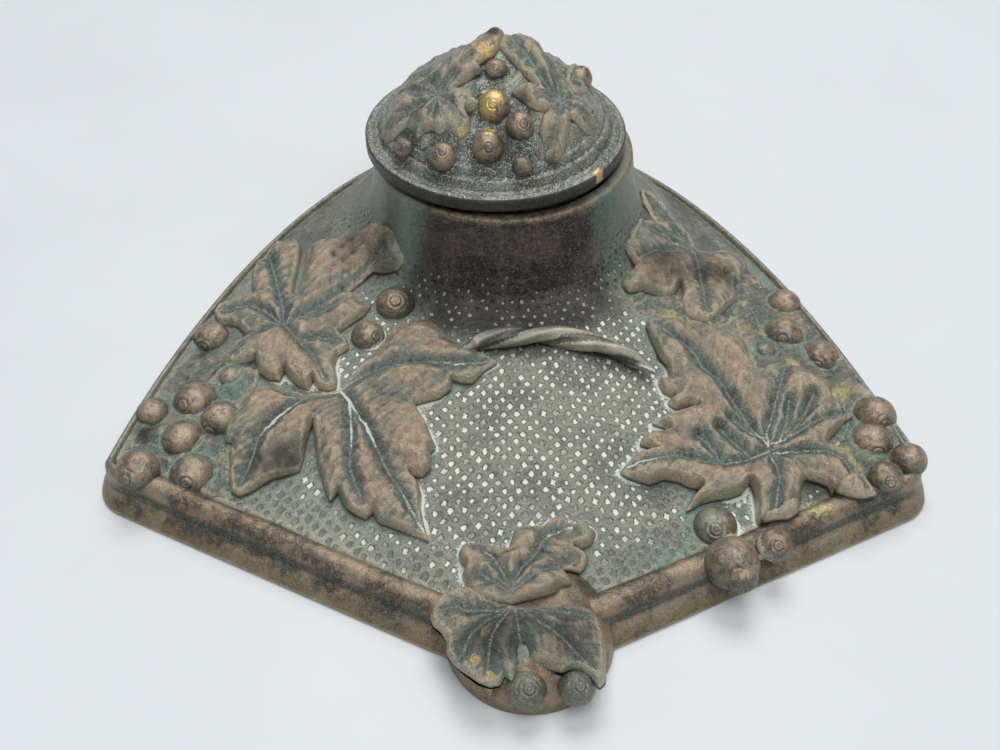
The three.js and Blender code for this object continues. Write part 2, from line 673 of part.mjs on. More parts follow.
function domeProfile(shrink, floor) {
  return DOME_SHARES.map(([out, up]) => [
    Math.max(LID_RADIUS * out - shrink, 0),
    Math.max(LID_TOP + DOME_HEIGHT * up - shrink, floor),
  ]).reverse();
}

function lidLeafRecess() {
  const half = HINGE_HALF_LENGTH - FIT_GAP;
  const high = LID_BOTTOM + LEAF_THICKNESS + FIT_GAP;
  return box([-half, LID_LEAF_FRONT - FIT_GAP, SPIGOT_BOTTOM - OVERRUN], [half, HINGE_AXIS_Y, high]);
}

function lidRivetHoles() {
  const [radius, high] = [RIVET_RADIUS + RUNNING_GAP, LID_TOP - RUNNING_GAP];
  return [-1, 1].map((side) =>
    rod(radius, LID_BOTTOM - OVERRUN, high, side * RIVET_HALF_SPACING, LID_RIVET_Y, SMALL_ROUND_STEPS));
}

function lidDisc() {
  return turned([
    [0, LID_BOTTOM], [LID_RADIUS - FIT_GAP, LID_BOTTOM], [LID_RADIUS, LID_BOTTOM + FIT_GAP],
    [LID_RADIUS, LID_TOP], [0, LID_TOP]], -LID_SHIFT_LEFT, LID_SHIFT_BACK, ROUND_STEPS);
}

function lidDome() {
  const low = LID_BOTTOM + FIT_GAP;
  const foot = LID_RADIUS * DOME_SHARES[DOME_SHARES.length - 1][0];
  const profile = [[0, low], [foot, low], ...domeProfile(0, LID_TOP)];
  return turned(profile, -LID_SHIFT_LEFT, LID_SHIFT_BACK + DOME_SHIFT_BACK, ROUND_STEPS);
}

function lidHollow() {
  const low = LID_BOTTOM - OVERRUN;
  const radius = SPIGOT_INSIDE - WALL - SPIGOT_WALL;
  const roof = domeProfile(WALL, LID_TOP - WALL)
    .filter(([out, height]) => out < radius && height > LID_TOP - WALL);
  const profile = [[0, low], [radius, low], ...roof];
  return turned(profile, -LID_SHIFT_LEFT, LID_SHIFT_BACK + DOME_SHIFT_BACK, ROUND_STEPS);
}

function lidLeaves() {
  const shift = [-LID_SHIFT_LEFT / LID_RADIUS, LID_SHIFT_BACK / LID_RADIUS];
  return LID_LEAVES.map((leaf) => {
    const moved = { ...leaf, at_shares: leaf.at_shares.map((share, k) => share + shift[k]) };
    return leafSolid(moved, LID_RADIUS, LID_RADIUS, LID_RADIUS, domeHeight, LID_TOP - RELIEF_SINK);
  });
}

function lidGrapes() {
  return LID_GRAPE_SHARES.map(([across, back, share]) => {
    const x = across * LID_RADIUS - LID_SHIFT_LEFT;
    const y = back * LID_RADIUS + LID_SHIFT_BACK;
    const radius = share * LID_RADIUS;
    return ball(radius, x, y, domeHeight(x, y) + radius * STAND_SHARE);
  });
}

function lidCasting() {
  const solidLid = joined(lidDisc(), [lidDome(), ...lidLeaves(), ...lidGrapes()]);
  const spigot = ringOf(SPIGOT_INSIDE, SPIGOT_RADIUS, SPIGOT_BOTTOM, LID_BOTTOM + WALL / 2);
  const hollowed = cut(solidLid, [lidHollow()]).add(spigot);
  return cut(hollowed, [lidLeafRecess(), ...lidRivetHoles()]);
}

// Hinge

function knuckle(low, high) {
  return alongX(KNUCKLE_RADIUS, low, high, HINGE_AXIS_Y, HINGE_AXIS_Z);
}

function pinBore() {
  const half = HINGE_HALF_LENGTH + OVERRUN;
  return alongX(PIN_RADIUS + RUNNING_GAP, -half, half, HINGE_AXIS_Y, HINGE_AXIS_Z);
}

function collarHingeLeaf() {
  const inner = HINGE_HALF_LENGTH * KNUCKLE_SHARE + FIT_GAP;
  const near = PAD_Y + SEAT_GAP;
  const far = near + LEAF_THICKNESS;
  const webLow = HINGE_AXIS_Z - KNUCKLE_RADIUS;
  const webHigh = LID_BOTTOM - 2 * FIT_GAP;
  const pieces = [-1, 1].flatMap((side) => {
    const [left, right] = side < 0 ? [-HINGE_HALF_LENGTH, -inner] : [inner, HINGE_HALF_LENGTH];
    return [box([left, near, webLow], [right, HINGE_AXIS_Y, webHigh]), knuckle(left, right)];
  });
  const plate = box([-HINGE_HALF_LENGTH, near, COLLAR_HEIGHT - LEAF_DROP],
    [HINGE_HALF_LENGTH, far, COLLAR_HEIGHT - FIT_GAP]);
  return cut(joined(plate, pieces), [pinBore(), ...rivetHoles()]);
}

function lidHingeLeaf() {
  const half = HINGE_HALF_LENGTH * KNUCKLE_SHARE;
  const wide = HINGE_HALF_LENGTH - 2 * FIT_GAP;
  const low = LID_BOTTOM + FIT_GAP / 2;
  const high = low + LEAF_THICKNESS;
  const plate = box([-wide, LID_LEAF_FRONT, low], [wide, COLLAR_RADIUS, high]);
  const tongue = box([-half, COLLAR_RADIUS - OVERRUN, low], [half, HINGE_AXIS_Y, high]);
  return cut(joined(plate, [tongue, knuckle(-half, half)]), [pinBore(), ...lidRivetHoles()]);
}

function hingePin() {
  const half = HINGE_HALF_LENGTH + RUNNING_GAP;
  const heads = [-1, 1].map((side) => {
    const ends = [side * half, side * (half + RIVET_HEAD_HEIGHT)].sort((a, b) => a - b);
    return alongX(KNUCKLE_RADIUS - FIT_GAP, ends[0], ends[1], HINGE_AXIS_Y, HINGE_AXIS_Z);
  });
  return joined(alongX(PIN_RADIUS, -half, half, HINGE_AXIS_Y, HINGE_AXIS_Z), heads);
}

function collarRivet(side) {
  const face = PAD_Y + 2 * SEAT_GAP + LEAF_THICKNESS;
  const x = side * RIVET_HALF_SPACING;
  const head = alongY(RIVET_HEAD_RADIUS, face, face + RIVET_HEAD_HEIGHT, x, COLLAR_RIVET_Z);
  return alongY(RIVET_RADIUS, PAD_Y - WALL + FIT_GAP, face, x, COLLAR_RIVET_Z).add(head);
}

function lidRivet(side) {
  const face = LID_BOTTOM + FIT_GAP / 2 - SEAT_GAP;
  const x = side * RIVET_HALF_SPACING;
  const low = face - RIVET_HEAD_HEIGHT;
  const high = LID_TOP - 2 * RUNNING_GAP;
  const head = rod(RIVET_HEAD_RADIUS, low, face, x, LID_RIVET_Y, SMALL_ROUND_STEPS);
  return rod(RIVET_RADIUS, face, high, x, LID_RIVET_Y, SMALL_ROUND_STEPS).add(head);
}

// Underside

function sheetRings(low, high) {
  const inset = (width) => width * BORDER_SHARES[1][0] + WALL + FIT_GAP;
  return lofted([insetRing(inset, low), insetRing(inset, high)]);
}

function bottomPlate() {
  const low = BAIZE_THICKNESS + SEAT_GAP;
  const plate = sheetRings(low, low + PLATE_THICKNESS);
  return cut(plate, screwPlaces().map(([x, y]) =>
    rod(SCREW_RADIUS + FIT_GAP, low - OVERRUN, RECESS_TOP, x, y, SMALL_ROUND_STEPS)));
}

function baizePad() {
  const pad = sheetRings(0, BAIZE_THICKNESS);
  return cut(pad, screwPlaces().map(([x, y]) =>
    rod(SCREW_HEAD_RADIUS + FIT_GAP, -OVERRUN, BAIZE_THICKNESS + OVERRUN, x, y, SMALL_ROUND_STEPS)));
}

function plateScrew([x, y]) {
  const face = BAIZE_THICKNESS;
  const head = rod(SCREW_HEAD_RADIUS, face - PLATE_THICKNESS, face, x, y, SMALL_ROUND_STEPS);
  return rod(SCREW_RADIUS, face, RECESS_TOP + SCREW_LENGTH, x, y, SMALL_ROUND_STEPS).add(head);
}

// The inkstand

const BRONZE = { color: 0x5f5048, roughness: 0.45, metalness: 0.8 };
const BRASS = { color: 0x9a7b45, roughness: 0.4, metalness: 0.9 };
const STEEL = { color: 0x8a8a88, roughness: 0.4, metalness: 0.9 };
const GLASS = { color: 0xdfe6e2, roughness: 0.1, metalness: 0 };
const LEATHER = { color: 0x5a3b26, roughness: 0.8, metalness: 0 };
const BAIZE = { color: 0x2f5a3c, roughness: 0.95, metalness: 0 };

const inkstand = new THREE.Group();

function place(name, manifold, look) {
  const mesh = new THREE.Mesh(geometryOf(manifold), new THREE.MeshStandardMaterial(look));
  mesh.name = name;
  inkstand.add(mesh);
}

place("base_casting", baseCasting(), BRONZE);
place("ink_pot", inkPot(), GLASS);
place("pot_washer", potWasher(), LEATHER);
place("lid_casting", lidCasting(), BRONZE);
place("lid_hinge_leaf", lidHingeLeaf(), BRASS);
place("collar_hinge_leaf", collarHingeLeaf(), BRASS);
place("hinge_pin", hingePin(), STEEL);
[["left", -1], ["right", 1]].forEach(([word, side]) => {
  place(`collar_leaf_rivet_${word}`, collarRivet(side), BRASS);
  place(`lid_leaf_rivet_${word}`, lidRivet(side), BRASS);
});
place("bottom_plate", bottomPlate(), BRASS);
screwPlaces().forEach((at, k) => place(`plate_screw_${k + 1}`, plateScrew(at), STEEL));
place("baize_pad", baizePad(), BAIZE);

export default inkstand;
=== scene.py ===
"""Looks of a fan shaped bronze inkstand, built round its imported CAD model.

Sizes and places are in millimetres, in the part's own frame: the pot's axis is
Z, the table is Z = 0 and the blunt front corner points to -Y. Meshes are made
in metres by mesh_piece().
"""
import json
import math

import bmesh
import bpy
import numpy as np
from mathutils import Euler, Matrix, Vector, geometry, kdtree


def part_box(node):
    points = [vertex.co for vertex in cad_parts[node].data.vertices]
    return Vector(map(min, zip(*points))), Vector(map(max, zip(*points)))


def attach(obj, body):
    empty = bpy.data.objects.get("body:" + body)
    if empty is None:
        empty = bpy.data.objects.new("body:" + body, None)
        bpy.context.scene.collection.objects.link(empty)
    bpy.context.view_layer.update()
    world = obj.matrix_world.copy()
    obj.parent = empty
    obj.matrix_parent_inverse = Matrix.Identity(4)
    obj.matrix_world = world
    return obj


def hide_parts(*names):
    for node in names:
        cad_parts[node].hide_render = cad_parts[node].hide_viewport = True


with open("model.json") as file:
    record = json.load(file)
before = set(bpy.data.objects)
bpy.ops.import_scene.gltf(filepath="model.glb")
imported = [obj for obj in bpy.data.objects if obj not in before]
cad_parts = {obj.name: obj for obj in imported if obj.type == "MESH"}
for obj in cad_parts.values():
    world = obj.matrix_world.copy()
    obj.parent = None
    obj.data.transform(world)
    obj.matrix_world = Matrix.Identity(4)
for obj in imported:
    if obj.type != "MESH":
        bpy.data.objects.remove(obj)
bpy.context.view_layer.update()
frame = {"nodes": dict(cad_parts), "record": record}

bl_info = {
    "name": "Vine inkstand",
    "version": (1, 0, 0),
    "blender": (4, 5, 0),
    "location": "View3D > Sidebar > Inkstand",
    "description": "Builds a cast bronze inkstand with vine leaves and grapes",
    "category": "Add Mesh",
}

MM = 0.001


def node_box(node):
    """Lowest and highest corner of a CAD node, in millimetres."""
    low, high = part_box(node)
    return np.array(low) / MM, np.array(high) / MM


BASE_LOW, BASE_HIGH = node_box("base_casting")
LID_LOW, LID_HIGH = node_box("lid_casting")
TOP_LIMIT = LID_HIGH[2] - 0.02

# Plan of the base, as in the CAD model
HALF_WIDTH = BASE_HIGH[0]
BACK_REACH = BASE_HIGH[1]
COLLAR_HEIGHT = BASE_HIGH[2]
CASTING_LIFT = BASE_LOW[2]
FRONT_REACH = 131.5
CORNER_RADIUS = 10.0
LEFT_EDGE_DEGREES = 62.65
RIGHT_EDGE_DEGREES = 65.5
SIDE_KNEE_SHARES = (0.9, 0.215)
BACK_KNEE_SHARE = 0.57
OUTLINE_STEP = 0.6

# Heights and widths of the casting
BORDER_WIDTH = 9.4
SIDE_BORDER_WIDTH = 4.6
BORDER_HEIGHT = 8.5
GROUND_EDGE_HEIGHT = 6.0
GROUND_OVERLAP = 1.6
SIDE_SWEEP = 1.5
SWEEP_WIDTH = 6.0
FOOT_HEIGHT = 12.6
FOOT_RADIUS = 44.0
COLLAR_RADIUS = 32.4
MOUTH_RADIUS = 29.0
LEDGE_RADIUS = 26.4
LEDGE_HEIGHT = COLLAR_HEIGHT - 5.0
LEAF_CLIMB = 5.0
BOSS_CENTRE = (2.2, -120.0)
BOSS_RADIUS = 16.5
BOSS_HEIGHT = 11.5
BOSS_POWER = 2.4

# Hinge seat at the back of the collar
PAD_Y = COLLAR_RADIUS - 0.3
PAD_BOTTOM = COLLAR_HEIGHT - 8.3
PAD_HALF = 7.6

# Lid
LID_CENTRE = (-2.0, 1.8)
LID_RADIUS = 32.4
LID_BOTTOM = COLLAR_HEIGHT + 1.2
LID_TOP = LID_BOTTOM + 3.4
DOME_HEIGHT = 20.0
DOME_SHIFT_BACK = 1.2
SPIGOT_RADIUS = MOUTH_RADIUS - 0.6
SPIGOT_INSIDE = MOUTH_RADIUS - 1.7
SPIGOT_LOW = LID_LOW[2]
HOLLOW_RADIUS = SPIGOT_INSIDE - 5.0
ROOF_THICKNESS = 3.2
HINGE_SEAT_HALF = 6.9
HINGE_SEAT_FRONT = 23.6
HINGE_SEAT_DEPTH = 1.6

# Shares of a grape's radius that it sinks in
BASE_SINK = 1.02
CORNER_SINK = 1.75
LID_SINK = 0.8

# Diaper pattern of small square pits
PIT_HALF_ACROSS = 1.42
PIT_HALF_DEEP = 2.08
PIT_HALF_WIDTH = 0.42
PIT_DEPTH = 0.45
SEEN_DEPTH_SHARE = 0.74
COLLAR_HALF_ACROSS = 1.15
COLLAR_HALF_DEEP = 1.95
COLLAR_PIT_HALF = 0.3
COLLAR_PIT_DEPTH = 0.3
PIT_STEPS = 6

# Camera that took the reference view, in pixels of a 1000 by 750 picture
VIEW_FOCAL = 1100.0
VIEW_CENTRE = (500.0, 375.0)
VIEW_FROM = np.array((-6.15, -239.0, 185.4))
VIEW_TILT = math.radians(46.2)
VIEW_TURN = math.radians(-1.25)
VIEW_MATRIX = np.array(Euler((VIEW_TILT, 0, VIEW_TURN)).to_matrix())
SENSOR_WIDTH = 36

# Search for the place that a pixel shows, from the top down
SEARCH_TOP = 72.0
SEARCH_STEP = 0.2
DOME_SLACK = 3.0

# Border cross section in shares of its width and height, from outside to inside
BORDER_SHARES = (
    (0.0, 0.06), (0.03, 0.12), (0.12, 0.26), (0.22, 0.38), (0.31, 0.47), (0.345, 0.52),
    (0.365, 0.6), (0.385, 0.7), (0.42, 0.81), (0.48, 0.9), (0.55, 0.96), (0.63, 0.995),
    (0.71, 1.0), (0.79, 0.975), (0.86, 0.92), (0.92, 0.84), (0.97, 0.74), (1.0, 0.66),
)
# Inside and underside of the border: share of its width, further inset and level
BORDER_UNDERSIDE = (
    (1.0, 0.4, 3.4), (0.33, 3.2, 2.6), (0.33, 3.0, CASTING_LIFT), (0.0, 0.15, CASTING_LIFT))
# Outside of the collar: shares from mouth to foot and from foot to mouth
COLLAR_SHARES = ((1.0, 0.0), (0.62, 0.06), (0.37, 0.18), (0.19, 0.4), (0.08, 0.66), (0.0, 0.96))
# Rim, mouth, ledge and bore of the collar: radius and level
COLLAR_INSIDE = (
    (COLLAR_RADIUS - 0.1, COLLAR_HEIGHT - 0.5), (COLLAR_RADIUS - 0.45, COLLAR_HEIGHT - 0.12),
    (COLLAR_RADIUS - 0.9, COLLAR_HEIGHT), (MOUTH_RADIUS + 0.4, COLLAR_HEIGHT),
    (MOUTH_RADIUS + 0.1, COLLAR_HEIGHT - 0.1), (MOUTH_RADIUS, COLLAR_HEIGHT - 0.4),
    (MOUTH_RADIUS, LEDGE_HEIGHT), (LEDGE_RADIUS, LEDGE_HEIGHT), (LEDGE_RADIUS, LEDGE_HEIGHT - 4),
    (COLLAR_RADIUS - 3, LEDGE_HEIGHT - 4.5), (COLLAR_RADIUS - 3, FOOT_HEIGHT - 3),
    (FOOT_RADIUS, FOOT_HEIGHT - 3),
)
# Dome in shares of the lid's radius and the dome's height
DOME_SHARES = ((0, 1), (0.32, 0.85), (0.54, 0.63), (0.7, 0.44), (0.8, 0.24), (0.9, 0.06))

# Leaves of the base, traced in the reference view. edge_rise: height of the rim
# in millimetres. crown: further height inside it. rim_pixels: outline.
# vein_pixels: lines from the stalk's joint. mounds: centre pixel, radius and
# height in millimetres.
BASE_LEAVES = {
    "leaf_front_left": {
        "edge_rise": 1.4, "crown": 2.4,
        "rim_pixels": [
            (344, 388), (352, 378), (360, 364), (374, 352), (384, 341), (388, 330), (404, 326), (417, 321),
            (430, 323), (440, 330), (450, 338), (466, 346), (480, 352), (498, 360), (484, 369), (472, 381),
            (460, 380), (452, 377), (451, 386), (440, 396), (427, 399), (414, 403), (420, 414), (427, 425),
            (431, 436), (436, 446), (430, 452), (431, 466), (422, 475), (410, 473), (418, 482), (421, 494),
            (420, 506), (423, 521), (429, 539), (412, 533), (396, 527), (378, 520), (373, 511), (365, 517),
            (355, 513), (347, 508), (342, 500), (338, 490), (330, 500), (325, 488), (322, 476), (317, 462),
            (315, 445), (313, 421), (306, 438), (303, 455), (299, 468), (284, 474), (270, 478), (260, 484),
            (250, 490), (238, 495), (231, 490), (229, 475), (231, 460), (228, 450), (233, 441), (224, 439),
            (225, 431), (229, 422), (235, 413), (243, 403), (252, 395), (263, 389), (276, 387), (292, 391),
            (306, 395), (322, 393), (335, 391)],
        "vein_pixels": [
            [(340, 391), (360, 379), (375, 373), (390, 369), (410, 366), (432, 366), (457, 367), (490, 361)],
            [(340, 391), (348, 402), (358, 416), (366, 428), (373, 442), (380, 457), (387, 473), (395, 486),
             (424, 532)],
            [(340, 393), (322, 396), (306, 401), (293, 410), (280, 420), (268, 430), (260, 440), (240, 486)],
            [(340, 391), (336, 380), (338, 368), (336, 358)],
            [(350, 405), (352, 440), (350, 470), (362, 505)],
            [(296, 397), (281, 393)],
        ],
        "mounds": [
            ((412, 430), 5.5, 2.0), ((415, 460), 4.5, 1.5), ((395, 500), 4.5, 1.0), ((420, 375), 4.0, 0.9),
            ((340, 460), 5.0, 1.0), ((355, 495), 4.0, 1.2), ((262, 408), 5.0, 1.5), ((300, 425), 5.0, 1.2),
            ((420, 340), 5.0, 1.0), ((300, 462), 4.0, -1.2), ((245, 465), 4.0, -0.6)],
    },
    "leaf_rear_left": {
        "edge_rise": 1.3, "crown": 2.2,
        "rim_pixels": [
            (214, 312), (218, 306), (227, 302), (240, 300), (244, 297), (255, 295), (252, 284), (252, 272),
            (255, 262), (263, 257), (268, 248), (276, 242), (287, 243), (297, 240), (301, 246), (299, 258),
            (296, 274), (292, 292), (297, 297), (301, 284), (304, 268), (306, 252), (313, 243), (325, 241),
            (337, 243), (349, 240), (363, 236), (377, 231), (390, 233), (401, 237), (409, 244), (410, 254),
            (406, 263), (397, 269), (385, 272), (373, 271), (361, 280), (350, 289), (353, 296), (363, 300),
            (371, 304), (364, 313), (355, 319), (345, 325), (339, 331), (346, 337), (349, 346), (338, 353),
            (334, 365), (337, 378), (336, 387), (326, 389), (317, 386), (313, 378), (308, 388), (298, 384),
            (289, 377), (284, 370), (279, 379), (268, 377), (259, 371), (255, 360), (243, 362), (232, 364),
            (221, 361), (228, 351), (237, 343), (248, 336), (243, 330), (237, 324), (227, 322), (218, 320)],
        "vein_pixels": [
            [(284, 328), (275, 320), (266, 313), (250, 309), (220, 312)],
            [(284, 328), (284, 314), (281, 300), (276, 282), (270, 258)],
            [(284, 328), (302, 318), (322, 308), (340, 297), (356, 284), (370, 270), (384, 258)],
            [(284, 328), (290, 336), (298, 345), (306, 353), (313, 360), (324, 382)],
            [(284, 328), (300, 321), (322, 314), (345, 308), (366, 303)],
            [(284, 328), (268, 334), (252, 340), (240, 350), (224, 360)],
            [(300, 345), (318, 341), (340, 341)],
        ],
        "mounds": [
            ((350, 252), 5.0, 2.4), ((380, 245), 5.0, 2.8), ((398, 248), 4.5, 2.6), ((325, 262), 4.5, 1.8),
            ((316, 285), 4.0, 0.6), ((345, 308), 3.5, 1.6), ((275, 350), 6.0, 2.2), ((300, 365), 5.0, 1.4),
            ((262, 285), 4.5, 1.0), ((240, 307), 4.0, 1.0), ((240, 352), 3.5, 0.8), ((322, 372), 4.5, 1.2)],
    },
    "leaf_front_right": {
        "edge_rise": 1.5, "crown": 2.4,
        "rim_pixels": [
            (646, 322), (656, 319), (670, 318), (683, 321), (694, 327), (704, 325), (714, 326), (727, 334),
            (738, 346), (748, 358), (754, 372), (757, 381), (763, 373), (772, 369), (786, 366), (800, 369),
            (813, 375), (826, 381), (833, 386), (829, 394), (833, 403), (845, 408), (853, 415), (844, 421),
            (838, 429), (830, 437), (826, 444), (840, 451), (848, 456), (857, 466), (866, 478), (877, 493),
            (862, 496), (850, 494), (838, 490), (828, 485), (817, 481), (806, 478), (801, 485), (801, 500),
            (798, 511), (790, 517), (777, 518), (765, 520), (757, 518), (757, 505), (755, 494), (750, 482),
            (743, 492), (730, 497), (715, 499), (701, 502), (686, 511), (692, 498), (702, 488), (690, 486),
            (678, 480), (664, 478), (650, 483), (638, 480), (628, 476), (620, 470), (628, 462), (634, 456),
            (646, 453), (656, 452), (650, 446), (640, 443), (642, 437), (652, 432), (670, 430), (664, 425),
            (652, 421), (668, 418), (682, 415), (698, 408), (690, 403), (676, 407), (668, 400), (675, 395),
            (664, 390), (658, 379), (670, 377), (668, 366), (660, 358), (656, 346), (650, 334)],
        "vein_pixels": [
            [(768, 450), (760, 440), (750, 428), (740, 415), (728, 399), (715, 383), (702, 369), (690, 356),
             (680, 346), (656, 326)],
            [(768, 454), (755, 460), (740, 464), (720, 467), (700, 465), (680, 462), (628, 469)],
            [(768, 448), (766, 436), (771, 420), (775, 405), (784, 372)],
            [(770, 447), (782, 442), (796, 435), (810, 428), (846, 415)],
            [(772, 456), (790, 454), (806, 453), (822, 456), (842, 467), (872, 491)],
            [(770, 458), (776, 470), (777, 488), (776, 514)],
            [(765, 441), (752, 436), (742, 428), (732, 420)],
            [(748, 459), (738, 450), (730, 440), (722, 431)],
            [(720, 466), (713, 453), (706, 444), (697, 440)],
            [(784, 442), (800, 425), (812, 400)],
            [(778, 445), (786, 425), (788, 405)],
        ],
        "mounds": [
            ((722, 352), 5.0, 2.2), ((742, 380), 5.0, 1.6), ((672, 350), 5.0, 1.4), ((700, 395), 5.0, 1.2),
            ((785, 385), 5.5, 1.8), ((820, 395), 4.5, 1.0), ((655, 465), 6.0, 1.5), ((690, 425), 5.0, 1.6),
            ((700, 480), 5.0, 1.6), ((775, 492), 5.5, 2.4), ((838, 470), 5.0, 2.2), ((722, 445), 4.5, -0.7),
            ((820, 425), 4.0, 1.2), ((740, 485), 4.5, 1.0)],
    },
    "leaf_rear_right": {
        "edge_rise": 1.1, "crown": 1.8,
        "rim_pixels": [
            (641, 188), (651, 193), (661, 202), (672, 214), (683, 226), (692, 238), (698, 250), (710, 252),
            (723, 253), (736, 256), (746, 263), (747, 272), (740, 280), (732, 273), (724, 271), (729, 281),
            (735, 290), (738, 300), (728, 306), (720, 314), (708, 321), (694, 319), (684, 312), (680, 303),
            (683, 292), (681, 284), (674, 294), (664, 298), (655, 292), (642, 289), (629, 291), (622, 283),
            (627, 274), (637, 267), (630, 257), (624, 247), (621, 236), (622, 226), (630, 221), (642, 219),
            (654, 222), (650, 212), (643, 201)],
        "vein_pixels": [
            [(695, 255), (680, 253), (665, 254), (650, 259), (638, 265), (628, 276)],
            [(695, 255), (684, 240), (670, 225), (658, 210), (646, 196)],
            [(695, 255), (680, 245), (662, 235), (645, 228), (628, 227)],
            [(695, 255), (712, 256), (728, 260), (742, 268)],
            [(695, 255), (699, 272), (702, 290), (706, 312)],
        ],
        "mounds": [
            ((660, 272), 6.0, 2.2), ((640, 275), 4.5, 1.2), ((730, 264), 4.0, 1.6), ((690, 300), 4.5, 1.0),
            ((718, 295), 4.0, 1.0), ((645, 240), 4.0, 1.0)],
    },
    "leaf_corner_upper": {
        "edge_rise": 1.3, "crown": 1.9,
        "rim_pixels": [
            (470, 592), (466, 582), (462, 574), (466, 567), (460, 560), (459, 552), (462, 545), (470, 543),
            (480, 542), (490, 545), (500, 548), (510, 551), (510, 542), (513, 534), (520, 527), (530, 526),
            (541, 527), (548, 521), (556, 516), (566, 517), (569, 525), (580, 524), (590, 527), (596, 531),
            (594, 538), (588, 544), (575, 547), (584, 550), (589, 556), (586, 564), (581, 571), (570, 569),
            (562, 569), (568, 575), (572, 582), (562, 583), (555, 590), (547, 593), (536, 596), (524, 599),
            (511, 602), (499, 601), (488, 599), (478, 596)],
        "vein_pixels": [
            [(512, 598), (514, 582), (522, 568), (534, 559), (541, 549), (548, 539), (572, 531)],
            [(510, 592), (504, 575), (492, 562), (476, 553)],
            [(516, 590), (535, 578), (552, 572), (578, 560)],
            [(508, 594), (496, 584), (482, 578)],
        ],
        "mounds": [
            ((525, 548), 4.0, 1.8), ((478, 565), 4.5, 1.6), ((570, 537), 4.0, 1.0), ((545, 584), 4.0, 1.6),
            ((510, 575), 3.0, -0.6)],
    },
    "leaf_corner_lower": {
        "edge_rise": 0.6, "crown": 1.6,
        "rim_pixels": [
            (502, 602), (490, 599), (478, 594), (464, 591), (450, 593), (440, 599), (433, 607), (430, 616),
            (433, 624), (441, 630), (447, 640), (447, 652), (455, 663), (467, 673), (478, 681), (490, 685),
            (500, 683), (505, 673), (512, 679), (518, 668), (521, 656), (530, 661), (541, 664), (552, 669),
            (562, 671), (571, 668), (581, 669), (590, 674), (600, 686), (606, 680), (605, 665), (606, 650),
            (604, 635), (600, 622), (594, 612), (585, 607), (572, 605), (560, 603), (545, 604), (530, 606),
            (516, 606)],
        "vein_pixels": [
            [(515, 606), (498, 612), (478, 614), (456, 612), (438, 614)],
            [(515, 606), (500, 624), (490, 645), (486, 680)],
            [(515, 606), (517, 622), (520, 640), (521, 654)],
            [(515, 606), (538, 622), (560, 642), (590, 668)],
            [(515, 606), (545, 612), (575, 616), (598, 628)],
            [(515, 606), (490, 622), (470, 640), (458, 660)],
        ],
        "mounds": [
            ((450, 600), 3.0, 1.4), ((470, 594), 3.0, 1.2), ((436, 610), 3.0, 1.2), ((475, 625), 4.5, 1.0),
            ((560, 650), 5.0, 1.4), ((595, 635), 4.0, 1.0), ((500, 650), 4.0, 0.8), ((522, 648), 2.5, -1.4)],
    },
}

